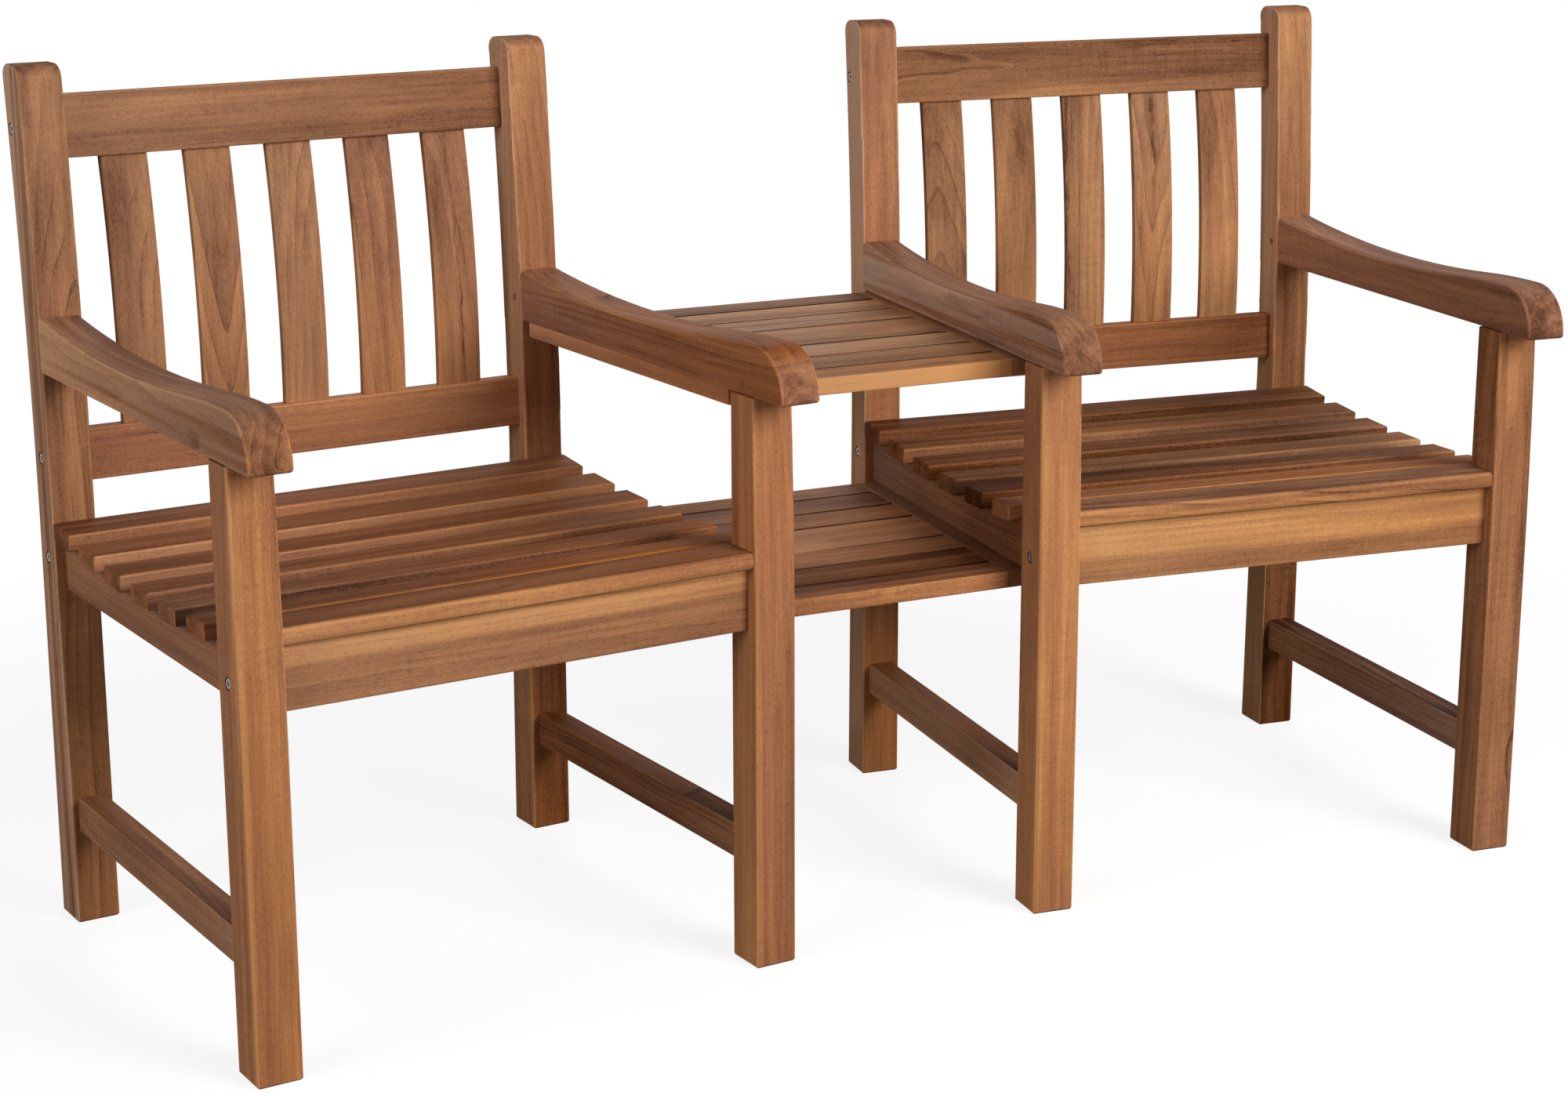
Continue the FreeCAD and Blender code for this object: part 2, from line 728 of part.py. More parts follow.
def frameBolt():
    # Bolt along -X with a hexagon socket; X 0 is the outer face of the leg it enters
    body = newBody("frame_bolt", inFrame=False)
    half = newSketch(body, "XZ_Plane", "frame_bolt_half")
    under = size.headSink + size.boltHeadHeight
    outline = Outline(half, -size.headSink, 0)
    outline.line(-size.boltLength, 0)
    outline.line(-size.boltLength, size.boltShank / 2)
    outline.line(-under, size.boltShank / 2)
    outline.line(-under, size.boltHead / 2)
    outline.line(-size.headSink, size.boltHead / 2)
    revolve(body, outline.close(), "H_Axis")
    rim = size.headSink.number
    easeEdges(body, "Chamfer", "frame_bolt_rim", size.headSink / 2,
              lambda edge: abs(edge.BoundBox.XMax + rim) < 0.01 and edge.BoundBox.XLength < 0.01)
    socket = moveSketch(newSketch(body, "YZ_Plane", "frame_bolt_socket"), out=-size.headSink)
    corner = size.socketAcross / root(asSize(3))
    outline = Outline(socket, corner, 0)
    for turn in (60, 120, 180, 240, 300):
        outline.line(corner * cosine(asSize(turn)), corner * sine(asSize(turn)))
    outline.close()
    pocket = body.newObject("PartDesign::Pocket", "frame_bolt_hexagon")
    pocket.Profile = socket
    bind(pocket, "Length", size.socketDepth)
    doc.recompute()
    return body


def boltBore():
    # The room a bolt needs: a counterbore for its head and a clearance hole
    body = newBody("bolt_bore", inFrame=False)
    half = newSketch(body, "XZ_Plane", "bolt_bore_half")
    under = size.headSink + size.boltHeadHeight
    outline = Outline(half, size.headSink, 0)
    outline.line(-size.boltLength - size.headSink, 0)
    outline.line(-size.boltLength - size.headSink, size.boreDiameter / 2)
    outline.line(-under, size.boreDiameter / 2)
    outline.line(-under, size.counterbore / 2)
    outline.line(size.headSink, size.counterbore / 2)
    revolve(body, outline.close(), "H_Axis")
    return body


def barrelNut():
    # Cross dowel nut along Y, threaded on to the bolt's shank, which runs along X
    body = newBody("barrel_nut", inFrame=False)
    pad(body, disc(newSketch(body, "XZ_Plane", "barrel_nut_round"), size.nutDiameter),
        size.nutLength)
    hole = disc(newSketch(body, "YZ_Plane", "barrel_nut_hole"), size.boltShank)
    pocket = body.newObject("PartDesign::Pocket", "barrel_nut_thread")
    pocket.Profile = hole
    pocket.SideType = "Symmetric"
    bind(pocket, "Length", size.nutDiameter * 2)
    doc.recompute()
    return body


def nutPocket():
    # The hole a barrel nut is pushed into from the back of a rail
    body = newBody("nut_pocket", inFrame=False)
    round = moveSketch(newSketch(body, "XZ_Plane", "nut_pocket_round"), out=size.nutLength / 2)
    pad(body, disc(round, size.nutDiameter), size.nutLength * 2, oneSided=True, backwards=True)
    return body


def roundPin(name, plane, start, diameter, length):
    # Plain wooden pin that starts off a plane and runs away from it
    body = newBody(name, inFrame=False)
    end = moveSketch(newSketch(body, plane, f"{name}_end"), out=start)
    pad(body, disc(end, diameter), length, oneSided=True)
    return body


def tableScrew():
    # Screw pointing up, its flat head let in flush; Z 0 is the face of its head
    body = newBody("table_screw", inFrame=False)
    half = newSketch(body, "XZ_Plane", "table_screw_half")
    outline = Outline(half, 0, 0)
    outline.line(size.screwHead / 2, 0)
    outline.line(size.screwHead / 2, size.screwHeadHeight)
    outline.line(size.screwShank / 2, size.screwHeadHeight)
    outline.line(size.screwShank / 2, size.screwLength)
    outline.line(0, size.screwLength)
    revolve(body, outline.close(), "V_Axis")
    return body


chairs = {"left": SimpleNamespace(side=-1), "right": SimpleNamespace(side=1)}
models = SimpleNamespace(
    backSlat=backSlat(),
    bolt=frameBolt(),
    bore=boltBore(),
    nut=barrelNut(),
    pocket=nutPocket(),
    peg=roundPin("arm_peg", "YZ_Plane", asSize(0), size.pegDiameter, size.pegLength),
    dowel=roundPin("slat_dowel", "XY_Plane", -size.slatThickness - size.dowelInRail,
                   size.dowelDiameter, size.dowelInRail + size.dowelInSlat),
    screw=tableScrew(),
)
nodes = []


def facing(side):
    # Fasteners are modelled for the +X side of a chair and turned about for the other
    return {"axis": vector(0, 0, 1), "degrees": asSize(0 if side > 0 else 180)}


def boltSpots():
    # Depth, height and lean of the rails that the bolts hold
    frontCentre = (size.frontRailBottom + size.frontRailTop) / 2
    rearCentre = (size.rearRailBottom + size.rearRailTop) / 2
    return [
        (size.frontRailMiddle, frontCentre, asSize(0)),
        (size.rearRailMiddle, rearCentre, asSize(0)),
        (size.lowerRailMiddle, size.lowerRailCentre, size.lowerRailTilt),
        (size.topRailMiddle, size.topRailCentre, size.topRailTilt),
    ]


def fastenersOf(name, chair):
    bolts = []
    bores = []
    nuts = []
    pockets = []
    pegs = []
    screws = []
    for side in (-1, 1):
        for depth, height, lean in boltSpots():
            head = dict(across=halfWidth * side, depth=depth, height=height, **facing(side))
            bolts.append((models.bolt, head))
            bores.append((models.bore, head))
            shoulder = (innerWidth / 2 - size.nutFromShoulder) * side
            held = dict(across=shoulder, depth=depth, height=height,
                        axis=vector(1, 0, 0), degrees=-lean)
            nuts.append((models.nut, held))
            pockets.append((models.pocket, held))
        pegs.append((models.peg, dict(across=(halfWidth - size.armWidth) * side,
                                      depth=size.legPegDepth, height=size.legPegHeight,
                                      **facing(side))))
        pegs.append((models.peg, dict(across=innerWidth / 2 * side, depth=size.postPegDepth,
                                      height=size.postPegHeight, **facing(side))))
    for top in (size.upperTierTop, size.lowerTierTop):
        for number in range(screwsPerRail):
            screws.append((models.screw, dict(across=sideRailCentre * -chair.side,
                                              depth=size.firstScrew + size.screwPitch * number,
                                              height=top - size.tableThickness)))
    dowels = []
    for side in (-1, 1):
        for number in range(1, slatsPerSeat + 1):
            depth, height, lean = seatSpot(number)
            dowels.append((models.dowel, dict(across=sideRailCentre * side, depth=depth,
                                              height=height, axis=vector(1, 0, 0),
                                              degrees=lean)))
        dowels.append((models.dowel, dict(across=size.frontDowelSpread * side,
                                          depth=size.frontRailMiddle,
                                          height=size.frontSlatTop)))
    return SimpleNamespace(
        bolts=gather(f"{name}_frame_bolts", chair, bolts),
        bores=gather(f"{name}_bolt_bores", chair, bores),
        nuts=gather(f"{name}_barrel_nuts", chair, nuts),
        pockets=gather(f"{name}_nut_pockets", chair, pockets),
        pegs=gather(f"{name}_arm_pegs", chair, pegs),
        dowels=gather(f"{name}_slat_dowels", chair, dowels),
        screws=gather(f"{name}_table_screws", chair, screws),
    )


def buildBack(name, chair, fasteners):
    # Slats between two cross rails
    lower = crossRail(f"{name}_lower_back_rail", chair, size.lowerRailMiddle,
                      size.lowerRailCentre, size.lowerRailDepth, size.lowerRailHeight,
                      size.lowerRailTilt)
    top = crossRail(f"{name}_top_rail", chair, size.topRailMiddle, size.topRailCentre,
                    size.topRailDepth, size.topRailHeight, size.topRailTilt)
    spots = []
    for number in range(slatsPerBack):
        across = size.backSlatPitch * (number - (slatsPerBack - 1) / 2)
        spots.append((models.backSlat, dict(across=across)))
    slats = gather(f"{name}_back_slats", chair, spots)
    nodes.append(slats)
    for rail, title in ((lower, "lower_back_rail"), (top, "top_rail")):
        nodes.append(cut(f"{name}_{title}", rail, [slats, fasteners.bores, fasteners.pockets]))
    return [lower, top]


def buildSeat(name, chair, fasteners):
    # Front and rear rails, and the slats on their dowels
    front = crossRail(f"{name}_front_rail", chair, size.frontRailMiddle,
                      (size.frontRailBottom + size.frontRailTop) / 2, size.seatRailDepth,
                      size.frontRailTop - size.frontRailBottom, asSize(0))
    rear = crossRail(f"{name}_rear_rail", chair, size.rearRailMiddle,
                     (size.rearRailBottom + size.rearRailTop) / 2, size.seatRailDepth,
                     size.rearRailTop - size.rearRailBottom, asSize(0))
    nodes.append(cut(f"{name}_front_rail", front,
                     [fasteners.bores, fasteners.pockets, fasteners.dowels]))
    nodes.append(cut(f"{name}_rear_rail", rear, [fasteners.bores, fasteners.pockets]))
    edge = frontSlat(f"{name}_front_slat", chair)
    nodes.append(cut(f"{name}_front_slat", edge, [fasteners.dowels]))
    for number in range(1, slatsPerSeat + 1):
        slat = seatSlat(f"{name}_seat_slat_{number}", chair, number)
        nodes.append(cut(f"{name}_seat_slat_{number}", slat, [fasteners.dowels]))
    return [front, rear]


def buildSide(name, chair, side, crossRails, fasteners):
    # Leg, post, arm, seat rail and stretcher of one side of a chair
    end = "table" if side != chair.side else "outer"
    leg = frontLeg(f"{name}_{end}_front_leg", chair, legCentre * side)
    post = backPost(f"{name}_{end}_back_post", chair, legCentre * side)
    rest = arm(f"{name}_{end}_arm", chair, armCentre * side)
    rail = sideRail(f"{name}_{end}_seat_rail", chair, sideRailCentre * side)
    low = stretcher(f"{name}_{end}_stretcher", chair, legCentre * side)
    screws = [fasteners.screws] if end == "table" else []
    nodes.append(cut(f"{name}_{end}_front_leg", leg,
                     [crossRails.front, rail, low, fasteners.bores, fasteners.pegs]))
    nodes.append(cut(f"{name}_{end}_back_post", post,
                     [crossRails.rear, crossRails.lower, crossRails.top, rail, low, rest,
                      fasteners.bores, fasteners.pegs]))
    nodes.append(cut(f"{name}_{end}_arm", rest, [leg, fasteners.pegs] + screws))
    nodes.append(cut(f"{name}_{end}_seat_rail", rail, [fasteners.dowels] + screws))
    low.Label = f"{name}_{end}_stretcher"
    nodes.append(low)


def buildTable(screws):
    # Two tiers of slats tongued into side rails that are screwed up under the chairs
    slats, tableBack = tableSlats()
    for tier, top in (("upper", size.upperTierTop), ("lower", size.lowerTierTop)):
        group = gather(f"{tier}_table_slats", None, [(slat, dict(height=top)) for slat in slats])
        nodes.append(group)
        for name, chair in chairs.items():
            title = f"{tier}_table_{name}_rail"
            rail = tableRail(title, chair, top, tableBack)
            nodes.append(cut(title, rail, [group, screws[name]]))


def buildChair(name, chair):
    fasteners = fastenersOf(name, chair)
    lower, top = buildBack(name, chair, fasteners)
    front, rear = buildSeat(name, chair, fasteners)
    crossRails = SimpleNamespace(lower=lower, top=top, front=front, rear=rear)
    for side in (-1, 1):
        buildSide(name, chair, side, crossRails, fasteners)
    nodes.extend([fasteners.bolts, fasteners.nuts, fasteners.pegs, fasteners.dowels])
    return fasteners.screws


screws = {name: buildChair(name, chair) for name, chair in chairs.items()}
buildTable(screws)
allScrews = doc.addObject("Part::Compound", "table_screws")
allScrews.Label = "table_screws"
allScrews.Links = list(screws.values())
nodes.append(allScrews)
doc.recompute()

# Nothing is written until every object is sound
for thing in doc.Objects:
    if "Invalid" in thing.State or "Error" in thing.State:
        raise RuntimeError(f"{thing.Name} did not build: {thing.State}")
for node in nodes:
    if node.Shape.isNull() or not node.Shape.isValid() or not node.Shape.Solids:
        raise RuntimeError(f"{node.Label} has no sound solid")
for node in nodes:
    node.Shape.exportStep(f"parts/{node.Label}.step")
print(f"{len(nodes)} nodes written")
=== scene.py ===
import math

import bpy
from mathutils import Matrix, Vector


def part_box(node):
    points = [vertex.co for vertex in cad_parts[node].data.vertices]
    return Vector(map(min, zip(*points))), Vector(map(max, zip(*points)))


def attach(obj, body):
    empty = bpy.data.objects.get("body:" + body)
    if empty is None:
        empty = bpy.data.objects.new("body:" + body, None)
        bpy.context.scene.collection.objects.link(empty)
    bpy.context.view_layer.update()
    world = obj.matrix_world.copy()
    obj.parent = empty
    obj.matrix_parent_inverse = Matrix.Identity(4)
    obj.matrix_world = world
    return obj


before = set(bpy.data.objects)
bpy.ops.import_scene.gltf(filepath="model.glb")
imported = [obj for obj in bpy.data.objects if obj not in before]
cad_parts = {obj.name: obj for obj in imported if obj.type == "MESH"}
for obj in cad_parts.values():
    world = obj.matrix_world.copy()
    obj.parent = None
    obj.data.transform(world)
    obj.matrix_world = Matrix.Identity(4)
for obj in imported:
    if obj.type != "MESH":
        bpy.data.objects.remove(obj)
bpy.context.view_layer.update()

# Garden companion bench in oiled teak: two slatted armchairs with a two tier table between.
# Lengths are in metres and angles in degrees. X runs along the bench, the sitters face -Y.

print("frame loaded:", len(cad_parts), "nodes")

chairTurn = {"left": 5.85, "right": -5.85}  # each chair is turned in towards the table


# Small helpers for building node trees

def joinSocket(tree, value, socket):
    if isinstance(value, bpy.types.NodeSocket):
        tree.links.new(value, socket)
    elif value is not None:
        socket.default_value = value


def addNode(tree, kind, inputs=None, **settings):
    node = tree.nodes.new(kind)
    for name, setting in settings.items():
        setattr(node, name, setting)
    for name, value in (inputs or {}).items():
        joinSocket(tree, value, node.inputs[name])
    return node


def calc(tree, operation, first, second=None, third=None):
    node = addNode(tree, "ShaderNodeMath", operation=operation)
    for index, value in enumerate((first, second, third)):
        joinSocket(tree, value, node.inputs[index])
    return node.outputs[0]


def addShare(tree, total, mask, share):
    # The total with a share of a mask added to it
    return calc(tree, "MULTIPLY_ADD", mask, share, total)


def remap(tree, value, fromLow, fromHigh, toLow=0.0, toHigh=1.0, smooth=False):
    inputs = {"Value": value, "From Min": fromLow, "From Max": fromHigh,
              "To Min": toLow, "To Max": toHigh}
    kind = "SMOOTHSTEP" if smooth else "LINEAR"
    return addNode(tree, "ShaderNodeMapRange", inputs, interpolation_type=kind).outputs[0]


def grainNoise(tree, vector, setup, seed=0.0):
    # Noise on a board's own coordinates, scaled along and across its grain and moved by a seed
    scaled = addNode(tree, "ShaderNodeVectorMath", operation="MULTIPLY")
    joinSocket(tree, vector, scaled.inputs[0])
    scaled.inputs[1].default_value = (setup["along"], setup["across"], setup["across"])
    offset = addNode(tree, "ShaderNodeCombineXYZ", {"X": seed, "Y": seed, "Z": seed})
    moved = addNode(tree, "ShaderNodeVectorMath", operation="ADD")
    tree.links.new(scaled.outputs[0], moved.inputs[0])
    tree.links.new(offset.outputs[0], moved.inputs[1])
    inputs = {"Vector": moved.outputs[0], "Scale": 1.0, "Detail": setup["detail"],
              "Roughness": setup["roughness"], "Distortion": setup.get("distortion", 0.0)}
    return addNode(tree, "ShaderNodeTexNoise", inputs).outputs["Fac"]


def centred(tree, value):
    # Moves the middle of a noise from a half to nought
    return calc(tree, "SUBTRACT", value, 0.5)


def splitVector(tree, vector):
    return addNode(tree, "ShaderNodeSeparateXYZ", {"Vector": vector}).outputs


def newGroup(name, inputs, outputs):
    # An input whose value is None is a vector, and each other one is a number
    tree = bpy.data.node_groups.new(name, "ShaderNodeTree")
    for title, value in inputs.items():
        kind = "NodeSocketVector" if value is None else "NodeSocketFloat"
        socket = tree.interface.new_socket(name=title, in_out="INPUT", socket_type=kind)
        if value is not None:
            socket.default_value = value
    for title in outputs:
        kind = "NodeSocketColor" if title == "Colour" else "NodeSocketFloat"
        tree.interface.new_socket(name=title, in_out="OUTPUT", socket_type=kind)
    inside = tree.nodes.new("NodeGroupInput")
    outside = tree.nodes.new("NodeGroupOutput")
    return tree, inside.outputs, outside.inputs


def placeGroup(tree, group, inputs):
    return addNode(tree, "ShaderNodeGroup", inputs, node_tree=group)


# Growth rings: distance from a pith that runs nearly along the board, bent by slow noise
ringLook = {  # what a board may change; places are in metres from its middle
    "Seed": 0.0,
    "Pith across": 0.0,
    "Pith deep": -0.09,
    "Taper": 0.03,  # how much the rings lean along the board
    "Ring width": 0.006,
    "Wander": 0.006,  # how far the rings sway
    "Steady": 0.0,  # least strength of a ring
    "Knot along": 9.0,  # off every board that gives no place of its own
    "Knot across": 0.0,
    "Knot deep": 0.0,
    "Knot size": 0.02,
}
ringSetup = {
    "sideSway": {"along": 3.4, "across": 12.0, "detail": 2.5, "roughness": 0.5},
    "deepSway": {"along": 3.1, "across": 11.0, "detail": 2.5, "roughness": 0.5},
    "deepSeed": 31.7,  # keeps the second sway's noise apart from the first
    "swayGain": 4.0,
    "knotStretch": 0.55,
    "knotLift": 0.022,
    "drift": {"along": 0.9, "across": 26.0, "detail": 1.0, "roughness": 0.4},
    "driftRings": 2.2,
    "darkening": (0.80, 0.92),  # this and the next two are parts of a ring's width
    "shading": (0.15, 0.90),
    "clearing": (0.95, 1.0),
    "shade": 0.45,
    "unevenness": 1.3,
    "breaks": {"along": 7.0, "across": 30.0, "detail": 2.0, "roughness": 0.5},
    "breakRange": (0.28, 0.56),
}


def makeRingGroup():
    tree, given, result = newGroup("growthRings", {"Vector": None, **ringLook},
                                   ("Lines", "Zones", "Knot"))
    vector = given["Vector"]
    seed = given["Seed"]

    def sway(name, ownSeed):
        bend = centred(tree, grainNoise(tree, vector, ringSetup[name], ownSeed))
        return calc(tree, "MULTIPLY", bend, given["Wander"])

    place = splitVector(tree, vector)
    across = calc(tree, "SUBTRACT", place["Y"], given["Pith across"])
    across = addShare(tree, across, sway("sideSway", seed), ringSetup["swayGain"])
    deep = calc(tree, "SUBTRACT", place["Z"], given["Pith deep"])
    deepSeed = calc(tree, "ADD", seed, ringSetup["deepSeed"])
    deep = addShare(tree, deep, sway("deepSway", deepSeed), ringSetup["swayGain"])
    radius = calc(tree, "SQRT", calc(tree, "ADD", calc(tree, "MULTIPLY", across, across),
                                     calc(tree, "MULTIPLY", deep, deep)))
    leaning = calc(tree, "MULTIPLY", place["X"], given["Taper"])
    radius = calc(tree, "ADD", radius, leaning)
    # A knot lifts the rings round it into an eye
    alongKnot = calc(tree, "SUBTRACT", place["X"], given["Knot along"])
    acrossKnot = calc(tree, "SUBTRACT", place["Y"], given["Knot across"])
    deepKnot = calc(tree, "SUBTRACT", place["Z"], given["Knot deep"])
    alongKnot = calc(tree, "MULTIPLY", alongKnot, ringSetup["knotStretch"])
    away = calc(tree, "MULTIPLY", alongKnot, alongKnot)
    away = calc(tree, "MULTIPLY_ADD", acrossKnot, acrossKnot, away)
    away = calc(tree, "SQRT", calc(tree, "MULTIPLY_ADD", deepKnot, deepKnot, away))
    away = calc(tree, "DIVIDE", away, given["Knot size"])
    knot = calc(tree, "EXPONENT", calc(tree, "MULTIPLY", calc(tree, "MULTIPLY", away, away), -1.0))
    radius = addShare(tree, radius, knot, ringSetup["knotLift"])
    # Each ring darkens slowly and ends in a line, as strong as chance and the breaks make it
    phase = calc(tree, "DIVIDE", radius, given["Ring width"])
    drift = grainNoise(tree, vector, ringSetup["drift"], seed)
    phase = addShare(tree, phase, drift, ringSetup["driftRings"])
    part = calc(tree, "FRACT", phase)
    whole = calc(tree, "FLOOR", phase)
    rise = remap(tree, part, *ringSetup["darkening"], smooth=True)
    shade = remap(tree, part, *ringSetup["shading"], 0.0, ringSetup["shade"], smooth=True)
    rise = calc(tree, "MAXIMUM", rise, shade)
    fall = remap(tree, part, *ringSetup["clearing"], 1.0, 0.0, smooth=True)
    pair = addNode(tree, "ShaderNodeCombineXYZ", {"X": whole, "Y": seed})
    chance = addNode(tree, "ShaderNodeTexWhiteNoise", {"Vector": pair.outputs[0]},
                     noise_dimensions="2D").outputs["Value"]
    strength = calc(tree, "POWER", chance, ringSetup["unevenness"])
    breaks = grainNoise(tree, vector, ringSetup["breaks"], seed)
    breaks = remap(tree, breaks, *ringSetup["breakRange"], smooth=True)
    strength = calc(tree, "MULTIPLY", strength, breaks)
    strength = calc(tree, "MAXIMUM", strength, given["Steady"])
    line = calc(tree, "MULTIPLY", calc(tree, "MULTIPLY", rise, fall), strength)
    joinSocket(tree, line, result["Lines"])
    joinSocket(tree, chance, result["Zones"])
    joinSocket(tree, knot, result["Knot"])
    return tree


# Fibres, short dark streaks, pores, lengthwise bands and the cross ripple of the wood
fibreSetup = {
    "fibres": {"along": 12.0, "across": 380.0, "detail": 2.0, "roughness": 0.6},
    "grit": {"along": 430.0, "across": 820.0, "detail": 1.0, "roughness": 0.5},
    "gritShare": 1.3,
    "streaks": {"along": 16.0, "across": 250.0, "detail": 2.0, "roughness": 0.55},
    "streakRange": (0.56, 0.74),
    "pores": {"along": 190.0, "across": 700.0, "detail": 1.0, "roughness": 0.5},
    "poreRange": (0.57, 0.68),
    "wideBands": {"along": 1.0, "across": 30.0, "detail": 2.0, "roughness": 0.5},
    "narrowBands": {"along": 1.6, "across": 105.0, "detail": 2.0, "roughness": 0.55},
    "narrowShare": 0.42,
    "bandRange": (0.34, 0.66),
    "blotches": {"along": 5.0, "across": 20.0, "detail": 3.0, "roughness": 0.5, "distortion": 0.4},
    "ripple": {"along": 190.0, "across": 42.0, "detail": 2.0, "roughness": 0.6, "distortion": 0.6},
    "ripplePatches": {"along": 5.0, "across": 20.0, "detail": 1.0, "roughness": 0.5},
    "rippleRange": (0.45, 0.62),
}


def makeFibreGroup():
    tree, given, result = newGroup(
        "woodFibres", {"Vector": None, "Seed": 0.0},
        ("Fibres", "Streaks", "Pores", "Bands", "Blotches", "Ripple"),
    )

    def texture(name):
        return grainNoise(tree, given["Vector"], fibreSetup[name], given["Seed"])

    def masked(name, rangeName):
        return remap(tree, texture(name), *fibreSetup[rangeName], smooth=True)

    grit = centred(tree, texture("grit"))
    fibres = addShare(tree, texture("fibres"), grit, fibreSetup["gritShare"])
    wide = calc(tree, "MULTIPLY", texture("wideBands"), 1 - fibreSetup["narrowShare"])
    bands = addShare(tree, wide, texture("narrowBands"), fibreSetup["narrowShare"])
    ripple = calc(tree, "MULTIPLY", centred(tree, texture("ripple")),
                  masked("ripplePatches", "rippleRange"))
    joinSocket(tree, centred(tree, fibres), result["Fibres"])
    joinSocket(tree, masked("streaks", "streakRange"), result["Streaks"])
    joinSocket(tree, masked("pores", "poreRange"), result["Pores"])
    joinSocket(tree, remap(tree, bands, *fibreSetup["bandRange"], -1.0, 1.0), result["Bands"])
    joinSocket(tree, centred(tree, texture("blotches")), result["Blotches"])
    joinSocket(tree, ripple, result["Ripple"])
    return tree


# One dark vein or mineral streak, of a given place and length, broken up by noise
veinLook = {
    "Vein along": 0.0,  # places are in metres from the board's middle
    "Vein length": 0.08,
    "Vein across": 0.0,
    "Vein width": 0.002,
}
veinSetup = {
    "sway": {"along": 14.0, "across": 20.0, "detail": 3.0, "roughness": 0.6},
    "swayReach": 0.022,
    "breaks": {"along": 45.0, "across": 190.0, "detail": 2.0, "roughness": 0.6},
    "breakRange": (0.30, 0.60),
}


def makeVeinGroup():
    tree, given, result = newGroup("darkVein", {"Vector": None, "Seed": 0.0, **veinLook},
                                   ("Vein",))
    vector = given["Vector"]
    seed = given["Seed"]
    place = splitVector(tree, vector)
    sway = centred(tree, grainNoise(tree, vector, veinSetup["sway"], seed))
    across = calc(tree, "SUBTRACT", place["Y"], given["Vein across"])
    across = addShare(tree, across, sway, veinSetup["swayReach"])
    across = calc(tree, "DIVIDE", across, given["Vein width"])
    along = calc(tree, "SUBTRACT", place["X"], given["Vein along"])
    along = calc(tree, "DIVIDE", along, given["Vein length"])
    spread = calc(tree, "MULTIPLY", across, across)
    spread = calc(tree, "MULTIPLY_ADD", along, along, spread)
    mask = calc(tree, "EXPONENT", calc(tree, "MULTIPLY", spread, -1.0))
    breaks = grainNoise(tree, vector, veinSetup["breaks"], seed)
    breaks = remap(tree, breaks, *veinSetup["breakRange"], smooth=True)
    joinSocket(tree, calc(tree, "MULTIPLY", mask, breaks), result["Vein"])
    return tree


# Long arrises, side faces and cut ends, told by which way the surface faces
edgeSetup = {
    "Arris": (0.22, 0.48),
    "Side": (0.30, 0.80),
    "End grain": (0.35, 0.90),
}


def makeEdgeGroup():
    tree, given, result = newGroup("boardEdges", {"Normal": None}, edgeSetup)
    facing = splitVector(tree, given["Normal"])
    side = calc(tree, "ABSOLUTE", facing["Y"])
    other = calc(tree, "SQRT", calc(tree, "SUBTRACT", 1.0, calc(tree, "MULTIPLY", side, side)))
    masks = {
        "Arris": calc(tree, "MULTIPLY", side, other),
        "Side": side,
        "End grain": calc(tree, "ABSOLUTE", facing["X"]),
    }
    for name, mask in masks.items():
        joinSocket(tree, remap(tree, mask, *edgeSetup[name], smooth=True), result[name])
    return tree


# The oiled wood itself: colour, roughness and height from the masks above
woodLook = {  # what a board may change; a tone runs from 0, dark, to 1, pale
    "Figure": 0.6,  # strength of the growth rings
    "Banding": 0.6,
    "Mottle": 1.0,
    "Knot tone": -0.55,
    "Vein tone": 0.0,
    "Strip angle": 0.0,  # a strip lies past its start, in this direction from the board's middle
    "Strip start": 9.0,
    "Strip edge": 0.004,
    "Strip tone": 0.25,
    # a painted grey sheen on the strip, which lies on the left faces of some posts and arms
    "Strip sheen": 0.0,
    # the tone and its fade hold the board's own colour together with painted light and shade
    "Tone and shading": 0.0,
    "Fade": 0.0,  # a fade is a change per metre along the board
    # painted light and shade on the side faces, lighter or darker as light falls on them, with a
    # change per metre along the board
    "Side shading": 0.0,
    "Side shading fade": 0.0,
    "End tone": -0.20,
    # a painted highlight along the long edges; a negative value paints shade there instead
    "Arris light": 0.16,
    # the grey is the board's own greyness together with a painted grey sheen
    "Grey and sheen": 0.0,  # part of the colour that is taken out
    "Grey and sheen fade": 0.0,
    # a painted grey sheen on the side faces
    "Side sheen": 0.0,
    "End grey": 0.0,
    "Red": 0.0,  # turn of the hue towards red
}
woodTones = {  # how far each mask moves the tone of plain wood
    "Plain": 0.57,
    "Bands": 0.26,
    "Blotches": 0.38,
    "Fibres": 0.28,
    "Ripple": 0.22,
    "Zones": 0.22,
    "Lines": -0.55,
    "Streaks": -0.06,
    "Pores": -0.10,
}
woodSetup = {
    "stripWander": 0.0025,
    "knotCore": (0.60, 0.98),
    "roughness": {"Plain": 0.60, "Fibres": 0.30, "End grain": 0.18, "Arris": -0.06},
    "height": {"Pores": -0.6, "Lines": -0.35},
    "stops": (0.0, 0.22, 0.42, 0.62, 0.82, 1.0),
    "colours": (
        (0.050, 0.017, 0.007),
        (0.145, 0.055, 0.024),
        (0.275, 0.117, 0.057),
        (0.400, 0.177, 0.083),
        (0.545, 0.248, 0.098),
        (0.700, 0.345, 0.145),
    ),
}


